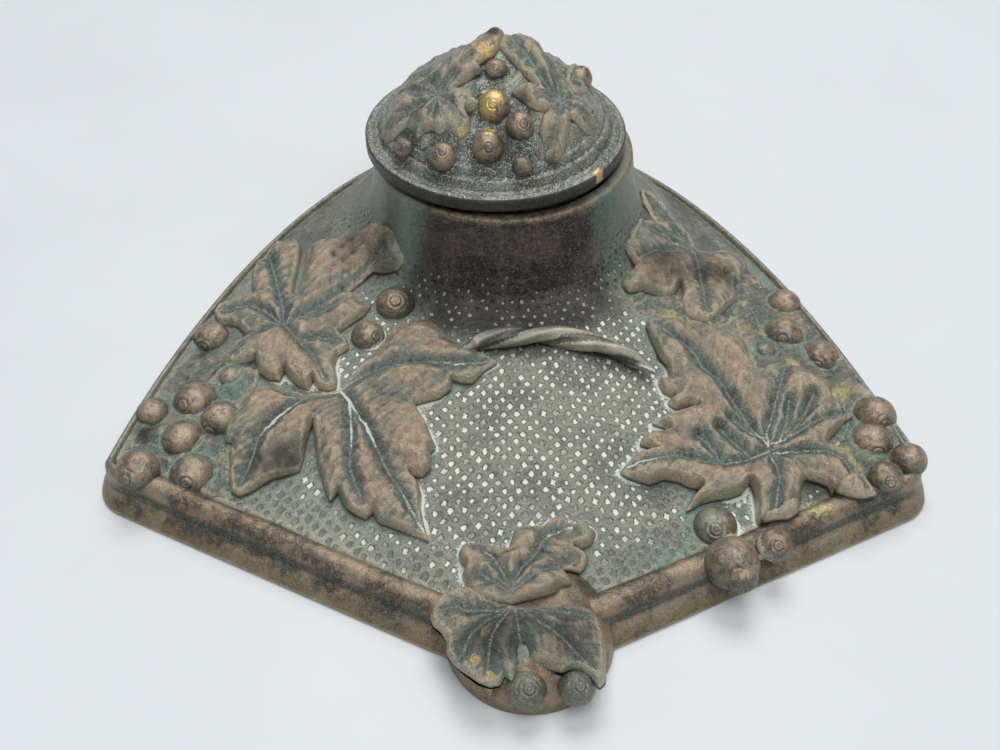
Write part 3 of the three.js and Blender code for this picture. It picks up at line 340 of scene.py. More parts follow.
LID_LEAVES = {
    "lid_leaf_left": {
        "edge_rise": 1.0, "crown": 1.9,
        "rim_pixels": [
            (380, 137), (383, 127), (388, 119), (396, 111), (404, 104), (398, 99), (393, 92), (402, 86),
            (412, 83), (422, 80), (430, 74), (440, 68), (448, 62), (458, 54), (468, 47), (477, 41),
            (485, 36), (494, 33), (503, 34), (506, 40), (500, 47), (493, 53), (484, 60), (477, 65),
            (482, 70), (474, 75), (466, 79), (458, 83), (452, 88), (462, 91), (472, 95), (480, 101),
            (474, 106), (466, 111), (471, 119), (470, 127), (466, 133), (461, 137), (454, 132), (447, 128),
            (440, 133), (431, 128), (423, 131), (417, 137), (412, 128), (407, 124), (400, 131), (393, 138),
            (386, 140)],
        "vein_pixels": [
            [(438, 101), (426, 105), (412, 112), (398, 120), (384, 134)],
            [(438, 101), (434, 112), (428, 126)],
            [(438, 101), (450, 108), (458, 118), (461, 132)],
            [(438, 101), (446, 88), (456, 76), (470, 64), (494, 49)],
            [(438, 101), (434, 90), (424, 82)],
            [(438, 101), (420, 94), (400, 92)],
        ],
        "mounds": [
            ((432, 118), 3.5, 1.4), ((458, 122), 2.8, 1.6), ((396, 122), 3.5, 0.9), ((466, 68), 3.2, 1.7),
            ((486, 50), 3.0, 1.8), ((496, 40), 3.6, 1.5), ((460, 98), 3.0, 0.8), ((402, 112), 2.5, 0.8)],
    },
    "lid_leaf_right": {
        "edge_rise": 1.1, "crown": 1.9,
        "rim_pixels": [
            (499, 46), (500, 37), (504, 31), (512, 32), (521, 36), (530, 39), (538, 45), (545, 53),
            (553, 61), (560, 68), (563, 78), (568, 88), (574, 96), (584, 99), (594, 104), (590, 111),
            (596, 122), (593, 133), (585, 130), (578, 122), (570, 116), (570, 128), (567, 140), (564, 150),
            (558, 158), (549, 161), (545, 153), (550, 145), (543, 138), (539, 129), (541, 119), (548, 111),
            (539, 109), (529, 105), (520, 98), (511, 89), (520, 84), (530, 86), (538, 89), (530, 80),
            (522, 71), (515, 62), (508, 54)],
        "vein_pixels": [
            [(560, 104), (550, 92), (538, 78), (526, 62), (514, 48), (504, 36)],
            [(560, 104), (546, 98), (532, 93), (514, 88)],
            [(560, 104), (559, 118), (556, 134), (552, 156)],
            [(560, 104), (572, 110), (583, 118), (592, 130)],
            [(560, 104), (572, 102), (590, 104)],
            [(560, 104), (558, 88), (550, 70), (540, 50)],
        ],
        "mounds": [
            ((514, 44), 3.0, 1.8), ((528, 56), 3.2, 1.8), ((544, 74), 3.2, 1.4), ((530, 90), 3.0, 1.2),
            ((554, 128), 3.2, 1.8), ((584, 116), 2.8, 0.8)],
    },
    "lid_leaf_back": {
        "edge_rise": 0.9, "crown": 1.3,
        "rim_pixels": [
            (566, 78), (567, 70), (573, 64), (581, 66), (588, 74), (592, 83), (586, 90), (576, 90)],
        "vein_pixels": [
            [(570, 84), (578, 72)],
        ],
        "mounds": [
            ((578, 74), 2.5, 1.6)],
    },
}

# Low beds of foliage round the grapes, in the same form as the leaves
BEDS = {
    "foliage_left": {
        "edge_rise": 0.15, "crown": 0.9,
        "rim_pixels": [
            (117, 462), (124, 448), (132, 436), (142, 420), (150, 402), (160, 388), (170, 374), (182, 362),
            (192, 352), (204, 352), (216, 362), (226, 352), (238, 342), (252, 338), (262, 352), (262, 372),
            (256, 388), (246, 398), (238, 412), (230, 426), (232, 450), (230, 470), (236, 490), (224, 499),
            (208, 496), (189, 488), (171, 481), (153, 474), (138, 467), (125, 462)],
        "vein_pixels": [
            [(250, 345), (232, 358), (216, 367), (204, 380)],
            [(248, 365), (232, 372), (220, 386), (214, 398)],
            [(160, 466), (164, 478), (166, 492)],
            [(130, 444), (150, 444), (172, 452)],
            [(222, 440), (224, 460), (222, 482)],
        ],
        "mounds": [
            ((238, 358), 3.5, 1.0), ((246, 376), 3.5, 0.8), ((160, 396), 3.0, 0.6)],
    },
    "foliage_right": {
        "edge_rise": 0.15, "crown": 0.9,
        "rim_pixels": [
            (736, 284), (752, 284), (768, 286), (784, 294), (800, 308), (814, 322), (826, 338), (840, 352),
            (852, 368), (866, 384), (878, 400), (892, 412), (904, 432), (916, 450), (918, 462), (908, 472),
            (890, 480), (872, 486), (856, 478), (842, 462), (834, 448), (832, 430), (842, 412), (836, 394),
            (820, 380), (800, 372), (776, 370), (758, 374), (748, 356), (738, 336), (732, 312)],
        "vein_pixels": [
            [(742, 300), (756, 318), (764, 338), (760, 360)],
            [(800, 372), (826, 384), (846, 400), (856, 412)],
            [(850, 414), (846, 432), (836, 446)],
            [(856, 466), (872, 484), (900, 488)],
        ],
        "mounds": [
            ((758, 350), 3.5, 0.9), ((845, 395), 3.5, 0.5), ((862, 404), 4.0, 1.6)],
    },
    "foliage_rear_right": {
        "edge_rise": 0.2, "crown": 0.9,
        "rim_pixels": [
            (628, 296), (640, 290), (656, 292), (672, 290), (684, 278), (694, 262), (706, 256), (724, 252),
            (744, 262), (756, 274), (764, 288), (752, 300), (744, 316), (728, 326), (712, 330), (692, 324),
            (672, 318), (650, 316), (634, 312)],
        "vein_pixels": [
            [(646, 296), (656, 308), (690, 316), (720, 320)],
            [(716, 262), (724, 282), (722, 316)],
            [(744, 268), (736, 290), (732, 312)],
        ],
        "mounds": [
            ((724, 300), 4.0, 0.8), ((690, 312), 4.0, 0.6), ((750, 280), 3.0, 0.8)],
    },
}

# Grapes: centre and radius in pixels of the reference view, then the pixel of
# the blossom end
BASE_GRAPES = {
    "grapes_left": [
        (212, 339, 18, 206, 348), (153, 414, 16, 141, 424), (196, 402, 21, 187, 404),
        (221, 421, 20, 213, 431), (183, 440, 20, 167, 444), (138, 470, 21, 130, 478),
        (193, 476, 22, 191, 481), (231, 378, 12, 234, 385)],
    "grapes_by_collar": [(396, 305, 20, 397, 301), (368, 337, 17, 379, 336)],
    "grapes_right": [
        (784, 305, 16, 778, 318), (783, 336, 19, 778, 340), (820, 358, 18, 812, 366),
        (875, 416, 20, 880, 424), (872, 443, 20, 872, 452), (885, 478, 17, 885, 480),
        (909, 460, 17, 910, 474), (764, 352, 11, 762, 354)],
    "grapes_on_border": [
        (715, 528, 22, 712, 526), (732, 563, 27, 733, 570), (740, 575, 18, 748, 588),
        (775, 545, 17, 775, 543)],
    "grapes_of_corner": [(526, 689, 21, 529, 683), (577, 687, 19, 580, 681)],
}
LID_GRAPES = [
    (496, 70, 11, 495, 71), (494, 106, 16, 493, 108), (520, 126, 14, 524, 127), (488, 147, 16, 489, 151),
    (443, 157, 14, 443, 154), (522, 166, 10, 522, 166), (405, 148, 10, 404, 149), (580, 78, 12, 584, 70),
]
STEM_PIXELS = [
    (462, 350), (478, 342), (505, 337), (535, 335), (565, 337), (595, 343), (625, 354), (655, 372),
]

# Patches of patina and stains, the dark ones also of painted shade: pixel of the centre, radius in
# millimetres and strength
PATINA_AND_SHADE_PATCHES = {
    "turquoise": [
        (650, 585, 9, 0.9), (680, 560, 8, 1.0), (700, 515, 6, 0.9), (735, 500, 5, 0.9), (620, 560, 6, 0.5),
        (230, 392, 5, 1.0), (205, 455, 6, 0.7), (165, 400, 5, 0.6), (395, 275, 7, 0.8), (385, 225, 7, 0.7),
        (640, 235, 6, 0.8), (650, 290, 7, 0.6), (645, 330, 8, 0.7), (700, 370, 4, 0.9), (715, 448, 6, 0.7),
        (298, 275, 3, 1.0), (380, 522, 5, 0.6), (520, 645, 4, 1.0), (760, 345, 6, 0.6), (845, 430, 4, 0.8),
        (560, 590, 6, 0.4), (340, 495, 4, 0.8), (225, 430, 4, 0.8), (350, 480, 3, 0.5),
        (465, 495, 12, 0.25), (405, 250, 9, 0.8), (612, 238, 8, 0.9), (600, 205, 5, 0.8), (470, 90, 4, 0.6),
        (150, 452, 4, 0.9), (168, 478, 3.5, 0.9), (640, 540, 6, 0.5)],
    "faint": [
        (260, 505, 9, 1.0), (310, 530, 9, 1.0), (360, 560, 8, 0.9), (410, 575, 8, 0.7), (640, 570, 9, 0.8),
        (670, 545, 8, 0.8), (610, 590, 7, 0.6), (690, 500, 7, 0.5), (520, 350, 6, 0.4), (600, 350, 6, 0.3)],
    # Stains and painted shade
    "dark": [
        (420, 290, 7, 0.8), (450, 315, 8, 0.9), (490, 323, 8, 1.0), (530, 326, 8, 1.0), (570, 322, 8, 0.9),
        (605, 305, 7, 0.7), (620, 272, 5, 0.35), (430, 265, 6, 0.6), (655, 492, 5, 0.5), (815, 495, 5, 0.7),
        (507, 592, 3, 0.4), (285, 458, 6, 0.75), (262, 466, 6, 0.6), (305, 445, 4, 0.6), (385, 268, 5, 0.6),
        (205, 352, 3, 0.7), (145, 432, 3, 0.9), (213, 431, 2.5, 0.8), (740, 590, 5, 0.5),
        (500, 630, 8, 0.75), (570, 640, 7, 0.7), (470, 640, 5, 0.6), (525, 622, 9, 0.6), (575, 610, 5, 0.5),
        (665, 268, 9, 0.8), (700, 262, 8, 0.5), (715, 275, 8, 0.75), (778, 492, 5, 0.45),
        (352, 250, 7, 0.7), (385, 248, 6, 0.7), (692, 345, 6, 0.35), (492, 37, 2.6, 1.0),
        (522, 97, 2.5, 0.8), (410, 132, 2.5, 0.6), (505, 142, 4, 0.7), (552, 160, 2.0, 0.9),
        (478, 72, 2.0, 0.8)],
    "yellow": [
        (672, 312, 3.5, 0.9), (792, 362, 3, 1.0), (840, 392, 3.8, 1.0), (842, 448, 2.8, 1.0),
        (857, 465, 2.4, 1.0), (760, 330, 2.4, 0.9), (818, 505, 4, 1.0), (222, 455, 3, 0.8),
        (330, 228, 7, 0.5), (745, 325, 6, 0.6), (700, 300, 6, 0.35), (760, 310, 5, 0.5), (545, 620, 3, 0.5),
        (270, 515, 14, 0.3), (390, 560, 14, 0.3), (860, 400, 4, 0.5)],
    "gold": [
        (475, 660, 1.5, 0.7), (490, 675, 1.6, 0.6), (598, 172, 1.6, 1.0), (487, 51, 2.6, 1.0),
        (461, 132, 1.8, 0.7), (491, 103, 3.0, 1.0), (489, 135, 1.6, 0.8), (495, 68, 1.2, 0.35),
        (441, 155, 1.2, 0.3)],
    "white": [
        (420, 410, 5, 1.0), (432, 440, 4, 1.0), (425, 500, 4, 1.0), (425, 525, 3, 0.8), (463, 545, 3, 1.0),
        (500, 548, 3, 1.0), (540, 522, 4, 1.0), (580, 524, 4, 1.0), (458, 575, 3, 1.0), (450, 588, 3, 1.0),
        (620, 468, 5, 1.0), (640, 450, 5, 1.0), (655, 425, 5, 1.0), (665, 398, 5, 1.0), (657, 378, 4, 1.0),
        (752, 505, 5, 1.0), (748, 530, 5, 1.0), (458, 363, 3.5, 0.5), (490, 366, 3.5, 0.5),
        (340, 372, 4, 1.0), (345, 400, 5, 1.0), (365, 430, 5, 0.9), (280, 420, 5, 0.8), (770, 445, 7, 0.5),
        (690, 330, 3, 1.0), (385, 345, 4, 0.7), (284, 378, 2.5, 1.0), (313, 382, 2.5, 1.0)],
}


# Numbers and places

def mix(low, high, share):
    return low + (high - low) * share


def smooth_step(low, high, value):
    """0 at low, 1 at high and smooth between, also where low is the larger."""
    share = np.clip((value - low) / (high - low), 0, 1)
    return share * share * (3 - 2 * share)


def hump(gap, width):
    """1 where the gap is 0, falling to 0 beyond about twice the width."""
    return np.exp(-(gap / width) ** 2)


def ripple(x, y, size, seed):
    """Smooth waves from -1 to 1 with features of about the given size."""
    rng = np.random.default_rng(seed)
    total = np.zeros(np.broadcast(x, y).shape)
    for turn, phase, stretch in rng.uniform((0, 0, 0.7), (math.tau, math.tau, 1.5), (5, 3)):
        along = x * math.cos(turn) + y * math.sin(turn)
        total += np.sin(along * math.tau / (2 * size * stretch) + phase)
    return total / 3


def rippled(values, x, y, waves):
    """The values with waves added, each given as height, size and seed."""
    for height, size, seed in waves:
        values = values + height * ripple(x, y, size, seed)
    return values


def unit(vectors):
    return vectors / np.maximum(np.linalg.norm(vectors, axis=1), 1e-6)[:, None]


def directions(line):
    """Unit vectors along a closed line."""
    return unit(np.roll(line, -1, 0) - np.roll(line, 1, 0))


def lengths_along(line):
    """Length along an open line at each of its points."""
    return np.concatenate([[0], np.cumsum(np.linalg.norm(np.diff(line, axis=0), axis=1))])


def view_rays(pixels):
    """Direction of the view ray through each pixel."""
    pixels = np.asarray(pixels, float)
    away = np.column_stack([
        (pixels[:, 0] - VIEW_CENTRE[0]) / VIEW_FOCAL,
        (VIEW_CENTRE[1] - pixels[:, 1]) / VIEW_FOCAL,
        -np.ones(len(pixels))])
    return away @ VIEW_MATRIX.T


def place_on(pixels, height_at, lift=0.0):
    """Points where the pixels' view rays first meet a surface raised by lift.

    A ray that passes just over the dome stops where it comes nearest."""
    rays = view_rays(pixels)
    levels = np.arange(SEARCH_TOP, 0, -SEARCH_STEP)
    steps = (levels[:, None] - VIEW_FROM[2]) / rays[:, 2]
    x, y = VIEW_FROM[0] + rays[:, 0] * steps, VIEW_FROM[1] + rays[:, 1] * steps
    gap = levels[:, None] - height_at(x, y) - lift
    met = gap <= 0
    slack = DOME_SLACK if height_at is dome_height else 0.0
    turned = (np.diff(gap, axis=0) > SEARCH_STEP / 10) & (gap[:-1] < slack)
    turned = np.vstack([turned, np.ones((1, gap.shape[1]), bool)])
    first = np.minimum(np.where(met.any(0), met.argmax(0), len(levels)), turned.argmax(0))
    met = np.take_along_axis(met, first[None], 0)
    first = np.maximum(first, 1)
    lane = np.arange(len(rays))
    above, below = gap[first - 1, lane], gap[first, lane]
    back = np.clip(below / np.minimum(below - above, -1e-6), 0, 1) * met[0]
    step = steps[first, lane] + (steps[first - 1, lane] - steps[first, lane]) * back
    return VIEW_FROM + rays * step[:, None]


def gap_to(x, y, pixel, height_at, lift):
    """Distance in plan from each point to the place that a pixel shows."""
    centre = place_on([pixel], height_at, lift)[0]
    return np.hypot(x - centre[0], y - centre[1])


# Plan of the base

def half_outline(degrees, step):
    """Right half of the fan's outline, from the front corner to the back."""
    lean = math.radians(degrees)
    run = (HALF_WIDTH - CORNER_RADIUS + CORNER_RADIUS * math.cos(lean)) / math.sin(lean)
    centre_y = -FRONT_REACH + run * math.cos(lean) + CORNER_RADIUS * math.sin(lean)
    along = np.arange(step / 2, run, step)
    edge = np.column_stack([
        along * math.sin(lean), -FRONT_REACH + along * math.cos(lean), np.full(len(along), BORDER_WIDTH)])
    share = np.linspace(0, 1, int(CORNER_RADIUS * lean / step), endpoint=False)
    turn = mix(-lean, 0, share)
    corner = np.column_stack([
        HALF_WIDTH - CORNER_RADIUS + CORNER_RADIUS * np.cos(turn),
        centre_y + CORNER_RADIUS * np.sin(turn),
        mix(BORDER_WIDTH, SIDE_BORDER_WIDTH, share)])
    knots = np.array([
        (HALF_WIDTH, centre_y),
        (HALF_WIDTH * SIDE_KNEE_SHARES[0], -FRONT_REACH * SIDE_KNEE_SHARES[1]),
        (HALF_WIDTH * BACK_KNEE_SHARE, BACK_REACH), (0, BACK_REACH)])
    t = np.linspace(0, 1, 2000)[:, None]
    curve = ((1 - t) ** 3 * knots[0] + 3 * (1 - t) ** 2 * t * knots[1]
             + 3 * (1 - t) * t * t * knots[2] + t ** 3 * knots[3])
    length = lengths_along(curve)
    marks = np.linspace(0, length[-1], int(length[-1] / step))
    side = np.column_stack([
        np.interp(marks, length, curve[:, 0]), np.interp(marks, length, curve[:, 1]),
        np.full(len(marks), SIDE_BORDER_WIDTH)])
    return np.vstack([edge, corner, side])


def fan_outline():
    """Outline points, their border widths and their inward normals."""
    right = half_outline(RIGHT_EDGE_DEGREES, OUTLINE_STEP)
    left = half_outline(LEFT_EDGE_DEGREES, OUTLINE_STEP)[:-1][::-1] * (-1, 1, 1)
    points = np.vstack([right, left])
    along = directions(points[:, :2])
    return points[:, :2], points[:, 2], np.column_stack([-along[:, 1], along[:, 0]])


OUTLINE, OUTLINE_WIDTH, OUTLINE_INWARD = fan_outline()


def inset_line(share, extra=0.0):
    """The outline moved inwards by a share of the border's width."""
    return OUTLINE + OUTLINE_INWARD * (OUTLINE_WIDTH * share + extra)[:, None]


DIRECTIONS = 720
DIRECTION_SMOOTHINGS = 8


def by_direction(line, values=None):
    """A closed line's distance from the pot's axis, or values along it, by direction."""
    turn = np.arctan2(line[:, 1], line[:, 0])
    order = np.argsort(turn)
    if values is None:
        values = np.hypot(line[:, 0], line[:, 1])
    even = np.linspace(0, math.tau, DIRECTIONS, endpoint=False)
    values = np.interp(even, turn[order], values[order], period=math.tau)
    for _ in range(DIRECTION_SMOOTHINGS):
        values = (np.roll(values, 1) + 2 * values + np.roll(values, -1)) / 4
    return lambda x, y: np.interp(np.arctan2(y, x), even, values, period=math.tau)


BORDER_REACH = by_direction(inset_line(1.0))
GROUND_REACH = by_direction(inset_line(1.0, -GROUND_OVERLAP))
SIDE_SHARE = by_direction(inset_line(1.0), smooth_step(BORDER_WIDTH, SIDE_BORDER_WIDTH, OUTLINE_WIDTH))
COLLAR_PROFILE = np.array([
    (mix(COLLAR_RADIUS, FOOT_RADIUS, out), mix(FOOT_HEIGHT, COLLAR_HEIGHT, up)) for out, up in COLLAR_SHARES])


def ground_level(x, y):
    """Ground between the border and the collar's foot, swept up to the sides."""
    reach = BORDER_REACH(x, y)
    gap = reach - np.hypot(x, y)
    share = np.clip(gap / (reach - FOOT_RADIUS), 0, 1)
    sweep = SIDE_SWEEP * SIDE_SHARE(x, y) * smooth_step(SWEEP_WIDTH, 0.0, gap) * (1 - share)
    return mix(GROUND_EDGE_HEIGHT, FOOT_HEIGHT, share) + sweep


def casting_height(x, y):
    """Top of the plain casting: border, ground and the collar's foot."""
    radius = np.hypot(x, y)
    collar = np.interp(radius, *COLLAR_PROFILE[::-1].T)
    height = np.where(radius < FOOT_RADIUS, collar, ground_level(x, y))
    return np.where(radius > BORDER_REACH(x, y) + 0.4, BORDER_HEIGHT, height)


def boss_level(out):
    """Top of the corner boss by the share of its radius."""
    dome = (1 - np.clip(out, 0, 1) ** BOSS_POWER) ** 0.5
    return CASTING_LIFT + (BOSS_HEIGHT - CASTING_LIFT) * dome


def relief_height(x, y):
    """What the leaves and grapes of the base lie on."""
    out = np.hypot(x - BOSS_CENTRE[0], y - BOSS_CENTRE[1]) / BOSS_RADIUS
    boss = np.where(out < 1, boss_level(out), 0)
    return np.minimum(np.maximum(casting_height(x, y), boss), FOOT_HEIGHT + LEAF_CLIMB)


def dome_level(out):
    """Top of the dome by the share of the lid's radius."""
    return LID_TOP + DOME_HEIGHT * np.interp(out, *np.array(DOME_SHARES).T, right=0.0)


def dome_height(x, y):
    """Top of the lid without its relief."""
    return dome_level(np.hypot(x - LID_CENTRE[0], y - LID_CENTRE[1] - DOME_SHIFT_BACK) / LID_RADIUS)


# Meshes

def mesh_piece(name, points, faces, attributes):
    """A new smooth mesh object from points in millimetres."""
    mesh = bpy.data.meshes.new(name)
    mesh.from_pydata((np.asarray(points) * MM).tolist(), [], [list(map(int, f)) for f in faces])
    for label, values in attributes.items():
        add_attribute(mesh, label, values)
    mesh.shade_smooth()
    piece = bpy.data.objects.new(name, mesh)
    bpy.context.collection.objects.link(piece)
    return piece


def add_attribute(mesh, label, values):
    attribute = mesh.attributes.new(label, "FLOAT", "POINT")
    attribute.data.foreach_set("value", np.asarray(values, np.float32))


def add_hollows(mesh, label, rounds, depth):
    """Writes how far each point lies in a hollow: 0.5 is flat and 1 is deep."""
    points = np.empty(len(mesh.vertices) * 3)
    mesh.vertices.foreach_get("co", points)
    points = points.reshape(-1, 3) / MM
    normals = np.empty(len(mesh.vertices) * 3, np.float32)
    mesh.vertex_normals.foreach_get("vector", normals)
    ends = np.empty(len(mesh.edges) * 2, np.int32)
    mesh.edges.foreach_get("vertices", ends)
    first, second = ends.reshape(-1, 2).T
    near = np.concatenate([first, second])
    far = np.concatenate([second, first])
    count = np.maximum(np.bincount(near, minlength=len(points)), 1)
    smooth = points
    for _ in range(rounds):
        smooth = np.column_stack([
            np.bincount(near, smooth[far, k], len(points)) / count for k in range(3)])
    gap = np.sum((smooth - points) * normals.reshape(-1, 3), 1)
    add_attribute(mesh, label, np.clip(0.5 + gap / depth / 2, 0, 1))


def edit_alone(piece):
    """Selects one piece and nothing else, and enters edit mode."""
    bpy.ops.object.select_all(action="DESELECT")
    piece.select_set(True)
    bpy.context.view_layer.objects.active = piece
    bpy.ops.object.mode_set(mode="EDIT")


def face_outwards():
    """Turns all faces of the closed mesh in edit mode outwards and leaves that mode."""
    bpy.ops.mesh.select_all(action="SELECT")
    bpy.ops.mesh.normals_make_consistent(inside=False)
    bpy.ops.object.mode_set(mode="OBJECT")


# Attributes of small and broad hollows: rounds of smoothing, and what is deep
HOLLOWS = {"hollow": (2, 0.1), "dip": (14, 0.45)}


def dress(piece, finish, wear=1.0, node="base_casting", body="base"):
    """Gives a new piece its material in a new slot, its hollows and its body, and hides the CAD node it
    stands for.
    """
    piece.data.materials.append(MATERIALS[finish])
    for label, (rounds, depth) in HOLLOWS.items():
        add_hollows(piece.data, label, rounds, depth / wear)
    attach(piece, body)
    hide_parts(node)


def cast_piece(name, points, faces, attributes, *dressing):
    """A closed new piece of a casting, with the finish, wear, node and body for dress()."""
    piece = mesh_piece(name, points, faces, attributes)
    edit_alone(piece)
    face_outwards()
    dress(piece, *dressing)


def loop_grid(rows, columns, closed_rows=True):
    """Faces of a grid of points that closes round its columns, and its rows."""
    row = np.arange(rows if closed_rows else rows - 1)
    column = np.arange(columns)
    r, c = [a.ravel() for a in np.meshgrid(row, column, indexing="ij")]
    up, right = (r + 1) % rows, (c + 1) % columns
    return np.column_stack([r * columns + c, r * columns + right, up * columns + right, up * columns + c])


def capped_grid(rows, columns):
    """Faces of a tube of points with a flat face at each end."""
    last = (rows - 1) * columns
    faces = loop_grid(rows, columns, closed_rows=False).tolist()
    return faces + [list(range(columns)), list(range(last, last + columns))]


def dense_line(points, step):
    """A closed line with extra points no further apart than the step."""
    out = []
    for a, b in zip(points, np.roll(points, -1, 0)):
        count = max(1, int(np.ceil(np.linalg.norm(b - a) / step)))
        out.extend(mix(a, b, k / count) for k in range(count))
    return np.array(out)


def distance_to_line(x, y, line):
    """Distance of each point to an open line, the length along it and the side."""
    best = np.full(x.shape, 1e9)
    along = np.zeros(x.shape)
    side = np.zeros(x.shape)
    start = 0.0
    for (ax, ay), (bx, by) in zip(line[:-1], line[1:]):
        dx, dy = bx - ax, by - ay
        length = math.hypot(dx, dy)
        share = np.clip(((x - ax) * dx + (y - ay) * dy) / length ** 2, 0, 1)
        gap_x, gap_y = x - ax - share * dx, y - ay - share * dy
        gap = np.hypot(gap_x, gap_y)
        nearer = gap < best
        best = np.where(nearer, gap, best)
        along = np.where(nearer, start + share * length, along)
        side = np.where(nearer, np.sign(dx * gap_y - dy * gap_x), side)
        start += length
    return best, along, side


def distance_to_points(x, y, points):
    """Distance of each point in plan to the nearest of some others."""
    tree = kdtree.KDTree(len(points))
    for k, (u, v) in enumerate(points):
        tree.insert((u, v, 0), k)
    tree.balance()
    return np.array([tree.find((a, b, 0))[2] for a, b in zip(x, y)])


def inside_line(x, y, line):
    """Which points lie inside a closed line."""
    inside = np.zeros(x.shape, bool)
    for (ax, ay), (bx, by) in zip(line, np.roll(line, -1, 0)):
        crosses = (ay > y) != (by > y)
        if by != ay:
            inside ^= crosses & (x < (bx - ax) * (y - ay) / (by - ay) + ax)
    return inside


def patina_and_shade_layers(x, y, height_at, lift=0.0):
    """Strength of each kind of patina, stain and painted shade at each point, from its patches."""
    layers = {}
    for label, patches in PATINA_AND_SHADE_PATCHES.items():
        strength = np.zeros(np.shape(x))
        for u, v, radius, amount in patches:
            gap = gap_to(x, y, (u, v), height_at, lift)
            strength = np.maximum(strength, amount * hump(gap, radius))
        layers[label] = strength
    return layers


# Leaves

LEAF_GRID = 0.42
RIM_STEP = 0.4
GROUND_RIM_STEP = 0.3
RIM_MARGIN = 0.3
ROUNDING_WIDTH = 0.45
CROWN_WIDTH = 2.6
VALLEY_WIDTH = 1.9
GROOVE_WIDTH = 0.38
GROOVE_DEPTH = 0.12
SIDE_VEIN_DEPTH = 0.25
SIDE_VEIN_PITCH = 4.4
SIDE_VEIN_SLANT = 1.1
SIDE_VEIN_REACH = 8
RIM_DROP = 0.35
# Waves of a leaf's top: height, size and the seed's step
LEAF_WAVES = ((0.2, 1.9, 7), (0.1, 1.0, 8))
# Rings of a leaf's side: drop, way out, and the strengths of its rim tone and of the painted shade on its
# side
WALL_RINGS = (
    (-0.4, 0.12, 0.9, 0.45), (-1.0, -0.05, 0.6, 0.8), (-1.9, -0.25, 0.3, 1.0), (-9.0, 0.1, 0.0, 1.0))
ROOT_SEARCH = (0, 0.6, 1.2)
ROOT_DEPTH = 0.8
LOWEST = CASTING_LIFT + 0.1


def leaf_plan(leaf, height_at, step=RIM_STEP):
    """The leaf's outline and veins in plan, in millimetres."""
    lift = leaf["edge_rise"]
    rim = place_on(leaf["rim_pixels"][::-1], height_at, lift)[:, :2]
    rim = dense_line(rim, step)
    rim = mix(rim, (np.roll(rim, 1, 0) + np.roll(rim, -1, 0)) / 2, 0.5)
    veins = [place_on(line, height_at, lift)[:, :2] for line in leaf["vein_pixels"]]
    return rim, veins


def grid_inside(rim):
    """Hexagonal grid of points inside a closed line, away from its edge."""
    low, high = rim.min(0), rim.max(0)
    rows = np.arange(low[1], high[1], LEAF_GRID * 0.866)
    columns = np.arange(low[0], high[0], LEAF_GRID)
    x, y = np.meshgrid(columns, rows)
    x = x + (np.arange(len(rows)) % 2 * LEAF_GRID / 2)[:, None]
    x, y = x.ravel(), y.ravel()
    keep = inside_line(x, y, rim)
    x, y = x[keep], y[keep]
    return np.column_stack([x, y])[distance_to_points(x, y, rim) > RIM_MARGIN]


def vein_relief(x, y, veins):
    """Distance to the nearest vein, and the ribs of the side veins."""
    nearest = np.full(x.shape, 1e9)
    side_veins = np.zeros(x.shape)
    for line in veins:
        gap, along, side = distance_to_line(x, y, line)
        wave = np.cos((along - gap * SIDE_VEIN_SLANT + side * SIDE_VEIN_SLANT) * math.tau / SIDE_VEIN_PITCH)
        ribs = np.clip(wave, 0, 1) ** 9 * np.exp(-gap / SIDE_VEIN_REACH)
        side_veins = np.where(gap < nearest, ribs, side_veins)
        nearest = np.minimum(nearest, gap)
    return nearest, side_veins


def leaf_top(x, y, edge_gap, leaf, veins, height_at, seed):
    """Height of the leaf's top and its attributes."""
    vein_gap, side_veins = vein_relief(x, y, veins)
    edge_rise, crown = leaf["edge_rise"], leaf["crown"]
    fall = 1 - hump(edge_gap, ROUNDING_WIDTH)
    broad = 1 - hump(edge_gap, CROWN_WIDTH)
    valley, groove = hump(vein_gap, VALLEY_WIDTH), hump(vein_gap, GROOVE_WIDTH)
    rise = edge_rise + 0.4 * ripple(x, y, 4.5, seed)
    rise = rise + crown * (0.4 * fall + 0.6 * broad) * (1 - 0.7 * valley)
    rise = rise - GROOVE_DEPTH * groove - SIDE_VEIN_DEPTH * side_veins * fall
    rise = rise + fall * sum(height * ripple(x, y, size, seed + step) for height, size, step in LEAF_WAVES)
    for pixel, radius, height in leaf["mounds"]:
        mound = hump(gap_to(x, y, pixel, height_at, edge_rise), radius)
        rise = rise + height * mound * mix(0.35, 1.0, fall)
    rise = rise - RIM_DROP * hump(edge_gap, RIM_DROP)
    return np.minimum(height_at(x, y) + rise, TOP_LIMIT), {
        "vein": groove + 0.3 * side_veins,
        "rim": hump(edge_gap, 0.7),
        "valley": valley * broad,
        "raised": np.clip(rise / (edge_rise + crown + 1.5), 0, 1.5),
        "wall": np.zeros(x.shape),
    }


def filled_outline(points, rim):
    """Triangles between the points, without those outside the closed rim line."""
    edges = [(k, (k + 1) % len(rim)) for k in range(len(rim))]
    placed, _, faces, *_ = geometry.delaunay_2d_cdt([Vector(p) for p in points], edges, [], 0, 1e-6, False)
    placed, faces = np.array(placed), np.array(faces)
    middle = placed[faces].mean(1)
    return placed, faces[inside_line(middle[:, 0], middle[:, 1], rim)].tolist()


